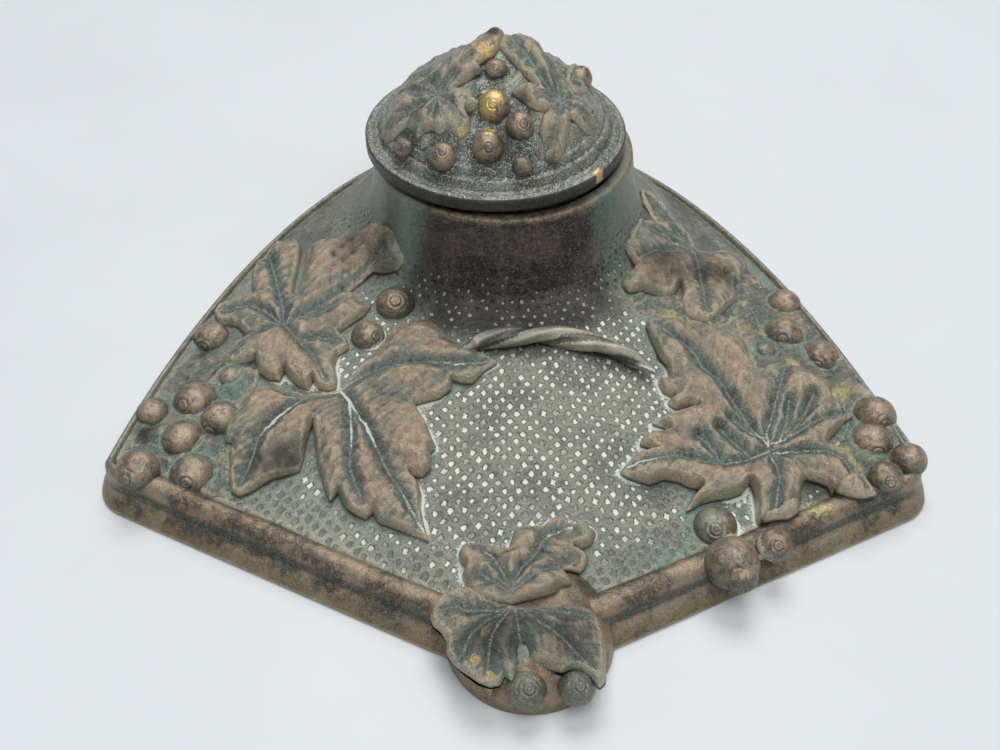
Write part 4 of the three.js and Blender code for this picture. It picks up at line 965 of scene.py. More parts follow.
def leaf_piece(name, leaf, height_at, seed, *dressing):
    """A leaf in relief with a crisp rim that turns down to what carries it."""
    rim, veins = leaf_plan(leaf, height_at)
    count = len(rim)
    plan, faces = filled_outline(np.vstack([rim, grid_inside(rim)]), rim)
    edge_gap = distance_to_points(*plan.T, rim)
    edge_gap[:count] = 0
    height, layers = leaf_top(*plan.T, edge_gap, leaf, veins, height_at, seed)
    along = directions(rim)
    area = np.sum(rim[:, 0] * np.roll(rim[:, 1], -1) - np.roll(rim[:, 0], -1) * rim[:, 1])
    outward = np.column_stack([along[:, 1], -along[:, 0]]) * np.sign(area)
    below = [height_at(*(rim + outward * out).T) for out in ROOT_SEARCH]
    floor = np.maximum(np.min(below, 0) - ROOT_DEPTH, LOWEST)
    rings = [np.column_stack([plan, height])]
    upper = np.arange(count)
    for k, (drop, out, *_) in enumerate(WALL_RINGS):
        rings.append(np.column_stack([rim + outward * out, np.maximum(height[:count] + drop, floor)]))
        lower = len(plan) + k * count + np.arange(count)
        faces += np.column_stack([upper, lower, np.roll(lower, -1), np.roll(upper, -1)]).tolist()
        upper = lower
    faces += [[int(upper[k]) for k in f][::-1] for f in filled_outline(rim, rim)[1]]
    points = np.vstack(rings)
    *_, rim_tones, wall_shade_strengths = zip(*WALL_RINGS)
    sides = {"rim": np.repeat(rim_tones, count), "wall": np.repeat(wall_shade_strengths, count)}
    unseen = np.zeros(len(points) - len(plan))
    attributes = {
        label: np.concatenate([values, sides.get(label, unseen)]) for label, values in layers.items()}
    attributes["by_grape"] = by_grape(*points.T[:2], height_at)
    attributes.update(patina_and_shade_layers(*points.T[:2], height_at, leaf["edge_rise"] + 1))
    cast_piece(name, points, faces, attributes, *dressing)


# Grapes

GRAPE_GROOVES = ((5, 2.2, 0.035), (18, 3.0, 0.05), (33, 4.0, 0.018))
DARK_GROOVE = 0.06
GRAPE_TURNS = 40
BASE_SHADE_REACH = 1.4
LID_SHADE_REACH = 2.4
GRAPE_PLACES = {}


def grape_place(grape, height_at, sink):
    """Centre and radius of a grape, sunk by a share of its radius."""
    pixel, size = grape[:2], grape[2]
    radius = size * np.linalg.norm(place_on([pixel], height_at, 2.0)[0] - VIEW_FROM) / VIEW_FOCAL
    return place_on([pixel], height_at, radius * (1 - sink))[0], radius


def grape_gap(x, y, height_at):
    """Distance in plan to the outline of the nearest grape."""
    if height_at is ground_level:
        height_at = relief_height
    if height_at not in GRAPE_PLACES:
        grapes = LID_GRAPES if height_at is dome_height else sum(BASE_GRAPES.values(), [])
        GRAPE_PLACES[height_at] = [grape_place(grape, height_at, BASE_SINK) for grape in grapes]
    return np.min([
        np.hypot(x - place[0], y - place[1]) - radius for place, radius in GRAPE_PLACES[height_at]], 0)


def by_grape(x, y, height_at):
    """1 under and close beside a grape, and 0 away from it."""
    reach = LID_SHADE_REACH if height_at is dome_height else BASE_SHADE_REACH
    return hump(np.maximum(grape_gap(x, y, height_at), 0), reach)


def modelled_grape():
    """One grape of radius 1 with a blossom end at its top and rings round it."""
    tilt = np.concatenate([np.linspace(2, 42, 24), np.linspace(46, 178, 20)])
    turn = np.linspace(0, math.tau, GRAPE_TURNS, endpoint=False)
    groove = sum(depth * hump(tilt - centre, width) for centre, width, depth in GRAPE_GROOVES)
    reach = (1 - groove)[:, None]
    lean = np.radians(tilt)[:, None]
    rings = np.stack([
        reach * np.sin(lean) * np.cos(turn), reach * np.sin(lean) * np.sin(turn),
        reach * np.cos(lean) + 0 * turn], 2).reshape(-1, 3)
    points = np.vstack([rings, [(0, 0, 0.985), (0, 0, -1)]])
    top, bottom = len(rings), len(rings) + 1
    start = (len(tilt) - 1) * GRAPE_TURNS
    faces = loop_grid(len(tilt), GRAPE_TURNS, closed_rows=False)[:, ::-1].tolist()
    for k in range(GRAPE_TURNS):
        after = (k + 1) % GRAPE_TURNS
        faces += [[top, k, after], [bottom, start + after, start + k]]
    return points, faces, np.concatenate([np.repeat(groove / DARK_GROOVE, GRAPE_TURNS), [0.6, 0]])


def grape_cluster(name, grapes, height_at, sink, squash, *dressing):
    """Grapes as copies of one modelled grape, each turned to its blossom end."""
    one, faces, groove = modelled_grape()
    points, loops = [], []
    for k, (u, v, size, end_u, end_v) in enumerate(grapes):
        place, radius = grape_place(grapes[k], height_at, sink)
        across, up = (end_u - u) / size, (v - end_v) / size
        toward = math.sqrt(max(0.05, 1 - across ** 2 - up ** 2))
        axis = Vector(VIEW_MATRIX @ np.array([across, up, toward]))
        spin = np.array(axis.to_track_quat("Z", "Y").to_matrix())
        lumpy = 1 + 0.025 * ripple(one[:, 0] * 9, one[:, 1] * 9 + one[:, 2] * 7, 5, 40 + k)
        loops += [[i + k * len(one) for i in f] for f in faces]
        points.append((one * lumpy[:, None]) @ spin.T * radius * (1, 1, squash) + place)
    points = np.vstack(points)
    points[:, 2] = np.maximum(points[:, 2], LOWEST)
    points[:, 1] = np.maximum(points[:, 1], BASE_LOW[1] + 0.05)
    x, y, z = points.T
    attributes = {
        "groove": np.tile(groove, len(grapes)), "low": 1 - smooth_step(0.3, 2.6, z - height_at(x, y)),
        **patina_and_shade_layers(x, y, height_at, 3.0)}
    cast_piece(name, points, loops, attributes, *dressing)


# Shader maths. Sizes of noise are in millimetres. All other numbers of the
# finishes are shares of a tone and the thresholds between which it sets in.

class Socket:
    """A value socket that Python expressions can be written on."""

    def __init__(self, tree, socket):
        self.tree = tree
        self.socket = socket

    def math(self, operation, *others, clamp=False):
        node = self.tree.nodes.new("ShaderNodeMath")
        node.operation = operation
        node.use_clamp = clamp
        for slot, value in zip(node.inputs, (self, *others)):
            plug(self.tree, slot, value)
        return Socket(self.tree, node.outputs[0])

    def __add__(self, other):
        return self.math("ADD", other)

    def __mul__(self, other):
        return self.math("MULTIPLY", other)

    def __sub__(self, other):
        return self.math("SUBTRACT", other)

    def __rsub__(self, other):
        return self * -1.0 + other

    __radd__ = __add__
    __rmul__ = __mul__

    def above(self, low, high):
        """0 below low, 1 above high, and smooth between."""
        return add_node(self.tree, "ShaderNodeMapRange", {"interpolation_type": "SMOOTHSTEP"},
                        {"Value": self, "From Min": low, "From Max": high})

    def clamped(self):
        return self.math("ADD", 0.0, clamp=True)


def plug(tree, slot, value):
    if isinstance(value, Socket):
        tree.links.new(value.socket, slot)
    else:
        slot.default_value = value


def add_node(tree, kind, settings, inputs, output=0):
    """Adds a node, sets it up and returns one of its outputs."""
    node = tree.nodes.new(kind)
    for name, value in settings.items():
        setattr(node, name, value)
    for name, value in inputs.items():
        plug(tree, node.inputs[name], value)
    return Socket(tree, node.outputs[output])


def paint(red, green, blue):
    """A colour given as it looks on screen, from 0 to 255, in linear light."""
    def linear(value):
        value /= 255
        return value / 12.92 if value <= 0.04045 else ((value + 0.055) / 1.055) ** 2.4
    return (linear(red), linear(green), linear(blue), 1.0)


class Coat:
    """A new material whose colour is laid on tone by tone."""

    def __init__(self, name, tones=None):
        self.material = bpy.data.materials.new(name)
        self.material.use_nodes = True
        self.tree = self.material.node_tree
        self.shader = self.tree.nodes["Principled BSDF"]
        self.tones = tones
        self.colour = None

    def noise(self, size, detail=3.0, rough=0.55):
        """Strong noise about 0.5 with features of about the given size."""
        place = add_node(self.tree, "ShaderNodeTexCoord", {}, {}, 3)
        value = add_node(self.tree, "ShaderNodeTexNoise", {}, {
            "Vector": place, "Scale": 1 / (size * MM), "Detail": detail, "Roughness": rough})
        return (value - 0.5) * 2.2 + 0.5

    def layers(self, *labels):
        return [
            add_node(self.tree, "ShaderNodeAttribute", {"attribute_name": label}, {}, 2) for label in labels]

    def tone(self, name):
        return paint(*getattr(self.tones, name))

    def blend(self, share, low, high):
        node = self.tree.nodes.new("ShaderNodeMix")
        node.data_type = "RGBA"
        for slot, value in (("Factor", share), (6, low), (7, high)):
            plug(self.tree, node.inputs[slot], value)
        return Socket(self.tree, node.outputs[2])

    def start(self, share, low, high):
        self.colour = self.blend(share, low, high)

    def lay(self, share, tone):
        self.colour = self.blend(share, self.colour, self.tone(tone))

    def lay_chalk(self, mask, low=0.3, high=0.55):
        """Lays ragged lines of pale polish over the colour."""
        ragged = self.noise(0.45, 4, 0.75)
        line = (mask * (ragged * 0.9 + 0.5)).above(low, high)
        self.lay(line * 0.85, "white")
        return line

    def age(self, film=0.6, pale=0.35, wear_and_highlight=0.5):
        """Rubbed edges, laid lighter on raised curves as a painted highlight too; green film; grime and
        painted shade in hollows; flecks; and patches, the dark ones of stain and painted shade.

        Returns the film's strength and where the metal is bare."""
        flecks, fine, medium = self.noise(0.3, 3, 0.7), self.noise(0.8, 4, 0.7), self.noise(2.4, 4, 0.6)
        cloud = self.noise(9.0, 3, 0.6)
        dip, hollow, turquoise, vein, dark, yellow, gold = self.layers(
            "dip", "hollow", "turquoise", "vein", "dark", "yellow", "gold")
        sunk = dip * 0.55 + hollow * 0.45
        # Rubbed raised curves, laid lighter as a painted highlight too
        self.lay((0.5 - sunk + (medium - 0.5) * 0.08).above(0.06, 0.48) * wear_and_highlight, "worn_with_highlight")
        hidden = (sunk + (cloud - 0.5) * 0.2 + (medium - 0.5) * 0.06 + (fine - 0.5) * 0.08).above(0.3, 0.95)
        self.lay(hidden * film, "verdigris")
        green = (turquoise * (medium * 0.5 + 0.6) + (fine - 0.5) * 0.2).above(0.2, 0.9)
        self.lay(green * 0.6, "turquoise")
        # Grime and painted shade in the hollows
        self.lay((sunk + (fine - 0.5) * 0.12).above(0.56, 1.0) * (1.0 - vein * 0.8) * 0.85, "crevice")
        grain = flecks + (fine - 0.5) * 0.5
        self.lay(grain.above(0.5, 0.85) * pale, "fleck")
        self.lay(grain.above(0.42, 0.0) * 0.6, "crevice")
        # Dark patches of stain and painted shade
        self.lay((dark + (medium - 0.5) * 0.2).above(0.15, 0.95) * 0.85, "shade")
        self.lay((yellow * (fine * 0.7 + 0.3) + (flecks - 0.5) * 0.2).above(0.3, 0.7) * 0.9, "yellow")
        bare = (gold + (fine - 0.5) * 0.5).above(0.35, 0.6)
        self.lay(bare, "gold")
        return hidden * film + green * 0.3, bare

    def finish(self, roughness, metallic, grain=None, strength=0.3, distance=0.2):
        """Connects the colour and the gloss, and a grain as a bump of the given height."""
        inputs = {"Base Color": self.colour, "Roughness": roughness, "Metallic": metallic}
        if grain is not None:
            inputs["Normal"] = add_node(self.tree, "ShaderNodeBump", {}, {
                "Strength": strength, "Distance": distance * MM, "Height": grain})
        for name, value in inputs.items():
            plug(self.tree, self.shader.inputs[name], value)
        return self.material


def leaf_bronze(tones, part):
    coat = Coat(part.replace("_", " ") + " bronze", tones)
    broad, medium, fine = coat.noise(8, 3), coat.noise(1.8, 4, 0.6), coat.noise(0.35, 4, 0.7)
    raised, vein, valley, rim, beside, wall, white = coat.layers(
        "raised", "vein", "valley", "rim", "by_grape", "wall", "white")
    warmth = raised + rim * 0.35 - valley * 0.4 + (broad - 0.5) * 0.45 + (medium - 0.5) * 0.15
    warmth = warmth.above(0.15, 1.25)
    coat.start(warmth, coat.tone(part + "_low"), coat.tone(part + "_high"))
    ruddy = (broad * 0.5 + medium * 0.5 + (fine - 0.5) * 0.3).above(0.35, 0.9)
    coat.lay(ruddy * (warmth * 0.75 + 0.08), "copper")
    coat.lay((valley + (medium - 0.5) * 0.2 + (fine - 0.5) * 0.12).above(0.0, 1.2) * 0.6, "valley")
    coat.lay((beside + (medium - 0.5) * 0.5).above(0.2, 1.1) * 0.7, "turquoise")
    film, gold = coat.age(0.6, 0.4)
    ring = beside.above(0.68, 0.8) * beside.above(0.97, 0.9) * (fine + 0.2)
    pale = (vein * (fine * 1.2 + 0.2)).above(0.45, 1.0)
    coat.lay((pale * 0.5 + ring.above(0.4, 0.9) * 0.45).clamped(), "fleck")
    # Painted shade on the leaf's sides under its rim
    coat.lay((wall + (fine - 0.5) * 0.3).above(0.2, 1.0) * 0.8, "wall")
    line = coat.lay_chalk(vein * (white * 0.95 + 0.3), 0.45, 0.75)
    coat.lay_chalk(rim * (white - 0.25), 0.42, 0.7)
    return coat.finish(0.34 + (medium - 0.5) * 0.3 + film * 0.25 + line * 0.3 - gold * 0.12,
                       0.58 + gold * 0.3 - line * 0.3, fine * 0.8 + medium, 0.6, 0.4)


def ground_bronze(tones):
    coat = Coat("ground bronze", tones)
    broad, medium, fine = coat.noise(12, 3), coat.noise(2.0, 4, 0.6), coat.noise(0.3, 4, 0.7)
    pit, fill, edge, white, dull, near, faint = coat.layers(
        "pit", "fill", "edge", "white", "dull", "near", "faint")
    shine = (broad + (medium - 0.5) * 0.6).above(0.3, 0.7)
    coat.start(shine, coat.tone("ground_dark"), coat.tone("ground_light"))
    coat.lay((dull * (broad + 0.4)).clamped(), "ground_dull")
    coat.lay((near + (medium - 0.5) * 0.8).above(0.3, 0.9) * 0.6, "verdigris")
    # Painted shade round the rims of the pits
    coat.lay((pit + (fine - 0.5) * 0.15).above(0.02, 0.25) * 0.5, "crevice")
    coat.age(0.3, wear_and_highlight=0.3)
    dot = (pit + (fine - 0.5) * 0.25).above(0.42, 0.7)
    bright = (fill * 0.6 + (fine - 0.5) * 0.3 - faint * 0.75 + 0.4).above(0.25, 0.7)
    dot_colour = coat.blend(bright, coat.tone("pit_grey"), coat.tone("white"))
    coat.start(dot * (bright * 0.5 + 0.42), coat.colour, dot_colour)
    scatter = near * white * (coat.noise(0.5, 3, 0.7) + 0.05).above(0.52, 0.68)
    line = coat.lay_chalk(edge * (white * 1.15 + 0.18) + scatter * 0.6)
    return coat.finish(0.5 + (medium - 0.5) * 0.2 + dot * 0.25 + line * 0.3,
                       0.35 - dot * 0.3 - line * 0.05, fine * 0.6 + medium, 0.4, 0.25)


def plain_bronze(tones, part, metallic=0.4, rough=0.4, copper=0.45, film=0.5, dots=0.85, pale=0.25):
    """Border, collar, boss and other smooth bronze."""
    coat = Coat(part + " bronze", tones)
    broad, medium, fine = coat.noise(9, 4), coat.noise(2.2, 4, 0.6), coat.noise(0.4, 4, 0.7)
    crevice, dull, beside, edge_gold, pit, fill, white = coat.layers(
        "crevice", "dull", "by_grape", "edge_gold", "pit", "fill", "white")
    shine = (broad * 0.85 + medium * 0.35).above(0.38, 0.85)
    coat.start(shine, coat.tone(part + "_low"), coat.tone(part + "_high"))
    coat.lay((medium + (fine - 0.5) * 0.8).above(0.5, 0.8) * copper, "copper")
    coat.lay((dull + (medium - 0.5) * 0.4).above(0.1, 1.0) * 0.9, "ground_dull")
    # Painted shadow beside and under the grapes
    coat.lay((beside + (fine - 0.5) * 0.5).above(0.3, 1.0) * 0.8, "crevice")
    coat.lay((edge_gold * (medium + 0.2)).above(0.2, 0.9) * 0.8, "skirt")
    # Grime and painted shade in the grooves
    coat.lay((crevice + (fine - 0.5) * 0.3).above(0.3, 0.9) * 0.8, "crevice")
    film, gold = coat.age(film, pale)
    # Painted shade round the pits
    coat.lay(pit.above(0.03, 0.3) * 0.6, "crevice")
    dot = (pit + (fine - 0.5) * 0.5).above(0.45, 0.7) * (fill + (fine - 0.5) * 0.5).above(0.2, 0.7)
    coat.lay(dot * dots, "pit_white")
    line = coat.lay_chalk(crevice * (white + 0.2))
    return coat.finish(rough + (medium - 0.5) * 0.25 + film * 0.2 + line * 0.3,
                       metallic + gold * 0.4 - film * 0.2, fine * 0.6 + medium, 0.45, 0.3)


def grape_bronze(tones):
    coat = Coat("grape bronze", tones)
    broad, medium, fine = coat.noise(6, 3), coat.noise(1.5, 4, 0.6), coat.noise(0.35, 4, 0.7)
    groove, low, white = coat.layers("groove", "low", "white")
    shine = (broad * 0.6 + medium * 0.5).above(0.35, 0.75)
    coat.start(shine, coat.tone("grape_low"), coat.tone("grape_high"))
    coat.lay((medium + (fine - 0.5) * 0.6).above(0.5, 0.8) * 0.4, "copper")
    # Green film and painted shade on the lower part of each grape
    film = (low + (medium - 0.5) * 0.8).above(0.45, 1.1) * 0.7
    coat.lay(film, "valley")
    # Grime and painted shade in the rings round the blossom end
    coat.lay((groove * (fine + 0.5)).above(0.3, 0.9) * 0.6, "crevice")
    _, gold = coat.age(0.4)
    line = coat.lay_chalk(low * (white + 0.35), 0.45, 0.7)
    return coat.finish(0.34 + (medium - 0.5) * 0.2 + film * 0.2 + line * 0.2,
                       0.5 + gold * 0.3, fine * 0.6 + medium, 0.4, 0.3)


def fitting_material(name, light, dark, metallic, rough, grain):
    """A CAD piece's own finish: two tones, worn and slightly uneven."""
    coat = Coat(name)
    medium, fine = coat.noise(grain * 5, 4, 0.6), coat.noise(grain, 4, 0.7)
    coat.start((medium + (fine - 0.5) * 0.5).above(0.3, 0.75), paint(*dark), paint(*light))
    return coat.finish(rough + (medium - 0.5) * 0.2, metallic, fine, 0.3, grain * 0.3)


def pot_glass():
    coat = Coat("pot glass")
    cloud = coat.noise(4, 3)
    coat.start(cloud, paint(214, 224, 218), paint(196, 210, 204))
    coat.shader.inputs["Transmission Weight"].default_value = 0.85
    coat.shader.inputs["IOR"].default_value = 1.5
    return coat.finish(0.06 + cloud * 0.12, 0.0)


# Finishes of the CAD pieces in view: name, light and dark tone, metallic share,
# roughness and size of the grain
FITTINGS = {
    "brass": ("aged brass", (168, 138, 84), (108, 90, 58), 0.8, 0.38, 0.5),
    "steel": ("dull steel", (150, 150, 148), (98, 98, 96), 0.85, 0.4, 0.4),
    "leather": ("washer leather", (104, 74, 50), (66, 46, 32), 0.0, 0.8, 0.6),
    "baize": ("green baize", (62, 98, 70), (38, 66, 46), 0.0, 0.95, 0.35),
}
MATERIALS = {}


# Settings of the add-on

def tone_setting(label, text, rgb):
    return bpy.props.FloatVectorProperty(
        name=label, description=text, subtype="COLOR_GAMMA", size=3, min=0, max=1,
        default=tuple(v / 255 for v in rgb))


class InkstandSizes(bpy.types.PropertyGroup):
    pit_depth: bpy.props.FloatProperty(
        name="Pit depth", description="Depth of the pits of the ground pattern",
        default=PIT_DEPTH * MM, unit="LENGTH")
    stem_radius: bpy.props.FloatProperty(
        name="Stem radius", description="Radius of the vine stem in front of the collar",
        default=2.2 * MM, unit="LENGTH")


class InkstandTones(bpy.types.PropertyGroup):
    leaf_low: tone_setting("Leaf, low", "Leaves where they lie low", (107, 115, 108))
    leaf_high: tone_setting("Leaf, high", "Leaves where they stand high", (192, 170, 145))
    copper: tone_setting("Copper", "Warm specks of bare copper", (170, 128, 98))
    # Rubbed edges, laid on every raised curve, that also serve as a painted highlight
    worn_with_highlight: tone_setting("Worn", "Edges rubbed by hands", (212, 198, 170))
    valley: tone_setting("Valley", "Dull film beside the veins", (88, 100, 92))
    verdigris: tone_setting("Verdigris", "Grey green film in the hollows", (114, 127, 119))
    turquoise: tone_setting("Turquoise", "Bright patches of corrosion", (112, 142, 130))
    yellow: tone_setting("Yellow", "Dried polish between the leaves", (196, 186, 132))
    gold: tone_setting("Gold", "Bronze rubbed bare", (212, 188, 128))
    white: tone_setting("White", "Chalky polish in lines and pits", (230, 232, 222))
    fleck: tone_setting("Fleck", "Pale flecks all over", (196, 200, 188))
    # Grime and painted shade in grooves and hollows, round the pits and beside grapes; also dark grain specks
    crevice: tone_setting("Crevice", "Dirt in the grooves", (44, 47, 42))
    # Painted shade on the sides of the leaves under their rims
    wall: tone_setting("Wall", "Sides of the leaves, under their rims", (54, 59, 53))
    # Painted shade and dark stains, laid where the dark patches are
    shade: tone_setting("Shade", "Dark stains under the leaves", (50, 48, 44))
    ground_dark: tone_setting("Ground, dark", "Darker parts of the ground", (98, 102, 95))
    ground_light: tone_setting("Ground, light", "Lighter parts of the ground", (128, 127, 115))
    ground_dull: tone_setting("Ground, dull", "Dull green parts of the ground", (130, 135, 122))
    pit_grey: tone_setting("Pit, grey", "Pits that hold little polish", (146, 152, 142))
    pit_white: tone_setting("Pit, white", "Pits of the collar", (186, 188, 178))
    border_low: tone_setting("Border, low", "Darker parts of the border", (86, 78, 68))
    border_high: tone_setting("Border, high", "Lighter parts of the border", (160, 142, 118))
    skirt: tone_setting("Skirt", "Lower edge of the border", (128, 112, 80))
    collar_low: tone_setting("Collar, low", "Darker parts of the collar", (48, 38, 37))
    collar_high: tone_setting("Collar, high", "Lighter parts of the collar", (86, 72, 68))
    grape_low: tone_setting("Grape, low", "Darker parts of the grapes", (108, 98, 88))
    grape_high: tone_setting("Grape, high", "Lighter parts of the grapes", (166, 147, 124))
    lid_low: tone_setting("Lid, low", "Darker parts of the lid", (96, 106, 100))
    lid_high: tone_setting("Lid, high", "Lighter parts of the lid", (140, 146, 135))
    lid_leaf_low: tone_setting("Lid leaf, low", "Leaves of the lid where they lie low", (98, 106, 99))
    lid_leaf_high: tone_setting("Lid leaf, high", "Leaves of the lid where they stand high", (178, 160, 136))
    stem_low: tone_setting("Stem, low", "Darker parts of the stem", (140, 142, 130))
    stem_high: tone_setting("Stem, high", "Lighter parts of the stem", (193, 185, 166))
    floor: tone_setting("Floor", "The pale table top", (220, 224, 227))


class Tones:
    """The tones of the scene as numbers from 0 to 255."""

    def __init__(self, group):
        for name in InkstandTones.__annotations__:
            setattr(self, name, tuple(255 * v for v in getattr(group, name)))


# Operators

class INKSTAND_OT_finishes(bpy.types.Operator):
    """Makes the bronze finishes and the finishes of the fittings"""
    bl_idname = "inkstand.finishes"
    bl_label = "Finishes"

    def execute(self, context):
        tones = Tones(context.scene.inkstand_tones)
        MATERIALS.update({
            "leaf": leaf_bronze(tones, "leaf"),
            "lid_leaf": leaf_bronze(tones, "lid_leaf"),
            "ground": ground_bronze(tones),
            "grape": grape_bronze(tones),
            "border": plain_bronze(tones, "border", metallic=0.55, rough=0.34),
            "collar": plain_bronze(tones, "collar", copper=0.1, film=0.15, dots=0.65),
            "stem": plain_bronze(tones, "stem"),
            "lid": plain_bronze(tones, "lid", rough=0.42, pale=0.9),
            "glass": pot_glass(),
            **{name: fitting_material(*fitting) for name, fitting in FITTINGS.items()},
        })
        return {"FINISHED"}


class INKSTAND_OT_fittings(bpy.types.Operator):
    """Gives the CAD pieces that stay in view their finishes"""
    bl_idname = "inkstand.fittings"
    bl_label = "Fittings"

    def execute(self, context):
        slots = {part["node"]: part["material_slot"] for part in frame["record"]["subparts"]}
        for name, node in frame["nodes"].items():
            if slots[name] != "bronze":
                node.data.materials.clear()
                node.data.materials.append(MATERIALS[slots[name]])
        return {"FINISHED"}


class INKSTAND_OT_border(bpy.types.Operator):
    """Makes the raised border with its groove and flared skirt"""
    bl_idname = "inkstand.border"
    bl_label = "Border"

    def execute(self, context):
        length = lengths_along(OUTLINE)
        front = smooth_step(SIDE_BORDER_WIDTH, BORDER_WIDTH, OUTLINE_WIDTH)
        wave = ripple(length, length * 0, 9.0, 3) * 0.3 * front
        swell = 1 + ripple(length, length * 0, 16.0, 4) * 0.025 * front
        rows, crevice, skirt = [], [], []
        for inset, height in BORDER_SHARES:
            waver = wave * smooth_step(0.4, 0.8, inset)
            line = inset_line(inset) + OUTLINE_INWARD * waver[:, None]
            level = BORDER_HEIGHT * height * np.where(inset > 0.36, swell, 1)
            rows.append(np.column_stack([line, level]))
            # Grime and painted shade in the groove and along the inner edge
            grooves = np.maximum(hump(inset - 0.35, 0.05), front * hump(inset - 1.0, 0.07))
            crevice.append(grooves * (0.3 + 0.7 * front))
            skirt.append(np.full(len(line), 1 - smooth_step(0.1, 0.3, inset)))
        for inset, extra, level in BORDER_UNDERSIDE:
            line = inset_line(inset, extra)
            rows.append(np.column_stack([line, np.full(len(line), level)]))
            crevice.append(np.zeros(len(line)))
            skirt.append(np.ones(len(line)) * (level < 1))
        points = np.vstack(rows)
        attributes = {
            "crevice": np.concatenate(crevice), "edge_gold": np.concatenate(skirt),
            "dull": np.tile((1 - front) * 0.7, len(rows)), **patina_and_shade_layers(*points.T[:2], casting_height)}
        attributes["turquoise"] *= 0.4
        cast_piece("border", points, loop_grid(len(rows), len(OUTLINE)), attributes, "border", 0.15)
        return {"FINISHED"}


def cell_chance(row, column, turn):
    """A fixed number from 0 to 1 for each cell of the pattern."""
    chance = np.sin(row * 12.9898 + column * 78.233 + turn * 37.7) * 43758.5453
    return chance - np.floor(chance)


def pit_pattern(a, b, across=PIT_HALF_ACROSS, deep=PIT_HALF_DEEP, width=PIT_HALF_WIDTH):
    """Share of full depth at a place of the pattern, and the cell's own chance."""
    row, column = np.floor(a), np.floor(b)
    da = a - row - 0.5 + 0.2 * (cell_chance(row, column, 1) - 0.5)
    db = b - column - 0.5 + 0.2 * (cell_chance(row, column, 2) - 0.5)
    x, y = (da + db) * across, (da - db) * deep * SEEN_DEPTH_SHARE
    turn = 0.8 + 0.9 * (cell_chance(row, column, 3) - 0.5)
    off = np.maximum(np.abs(x * np.cos(turn) + y * np.sin(turn)), np.abs(y * np.cos(turn) - x * np.sin(turn)))
    half = width * (1 + 0.35 * (cell_chance(row, column, 4) - 0.5))
    return 1 - smooth_step(half * 0.8, half * 1.35, off), cell_chance(row, column, 5)


# Ground: how its rows waver and bow, how its surface waves, how it dips beside
# the border, where its pits fade, where no pits are, and where it is dull
DRIFT_ACROSS = ((0.35, 9, 11), (1.2, 45, 13))
DRIFT_BACK = ((0.3, 8, 12),)
ROW_BOW = 0.0028
GROUND_WAVES = ((0.18, 14, 21), (0.05, 2.2, 22))
EDGE_DIP = 0.9
EDGE_DIP_WIDTH = (2.2, 0.6)
LEAF_CLEARANCE = (0.3, 1.3)
BORDER_CLEARANCE = (0.5, 3.0)
BARE_BACK = (-32, -12)
BARE_SIDES = (46, 56)
BARE_SIDES_FROM = (-76, -66)
DULL_LEFT = (-8, -34)
DULL_FRONT = (-88, -104)


class INKSTAND_OT_ground(bpy.types.Operator):
    """Makes the ground with its pattern of square pits"""
    bl_idname = "inkstand.ground"
    bl_label = "Ground"

    def execute(self, context):
        count = int(max(HALF_WIDTH / PIT_HALF_ACROSS, FRONT_REACH / PIT_HALF_DEEP)) + 2
        marks = np.arange(-count * PIT_STEPS, count * PIT_STEPS) / PIT_STEPS
        a, b = np.meshgrid(marks, marks, indexing="ij")
        x0, y0 = PIT_HALF_ACROSS * (a + b), PIT_HALF_DEEP * (a - b)
        x = rippled(x0, x0, y0, DRIFT_ACROSS)
        y = rippled(y0, x0, y0, DRIFT_BACK) - ROW_BOW * x0 ** 2
        radius = np.hypot(x, y)
        keep = (radius < GROUND_REACH(x, y)) & (radius > COLLAR_RADIUS + 1.5)
        depth, chance = pit_pattern(a, b)
        cell = keep[:-1, :-1] & keep[1:, :-1] & keep[1:, 1:] & keep[:-1, 1:]
        index = np.arange(a.size).reshape(a.shape)
        quads = np.column_stack([
            index[:-1, :-1][cell], index[1:, :-1][cell], index[1:, 1:][cell], index[:-1, 1:][cell]])
        used, quads = np.unique(quads, return_inverse=True)
        x, y, depth, chance = [values.ravel()[used] for values in (x, y, depth, chance)]
        rims = [leaf_plan(leaf, relief_height, GROUND_RIM_STEP)[0] for leaf in BASE_LEAVES.values()]
        rims += [leaf_plan(bed, ground_level, GROUND_RIM_STEP)[0] for bed in BEDS.values()]
        gap = distance_to_points(x, y, np.vstack(rims))
        gap = np.minimum(gap, np.abs(grape_gap(x, y, relief_height)))
        border_gap = GROUND_REACH(x, y) - np.hypot(x, y)
        bare_sides = smooth_step(*BARE_SIDES, np.abs(x)) * smooth_step(*BARE_SIDES_FROM, y)
        bare = np.maximum(smooth_step(*BARE_BACK, y), bare_sides)
        depth = depth * smooth_step(*LEAF_CLEARANCE, gap) * smooth_step(*BORDER_CLEARANCE, border_gap)
        depth = depth * (1 - bare)
        z = np.minimum(ground_level(x, y), FOOT_HEIGHT) - context.scene.inkstand_sizes.pit_depth / MM * depth
        z = rippled(z, x, y, GROUND_WAVES)
        z = z - EDGE_DIP * smooth_step(*EDGE_DIP_WIDTH, border_gap) * (1 - SIDE_SHARE(x, y))
        attributes = {
            "pit": depth, "fill": chance, "edge": hump(gap, 0.7), "near": hump(gap, 3.0),
            "dull": smooth_step(*DULL_LEFT, x) * smooth_step(*DULL_FRONT, y - 0.45 * np.abs(x)) * 0.9,
            **patina_and_shade_layers(x, y, casting_height)}
        piece = mesh_piece("ground", np.column_stack([x, y, z]), quads.reshape(-1, 4), attributes)
        close_below(piece, (GROUND_EDGE_HEIGHT - 2.6) * MM)
        dress(piece, "ground")
        return {"FINISHED"}


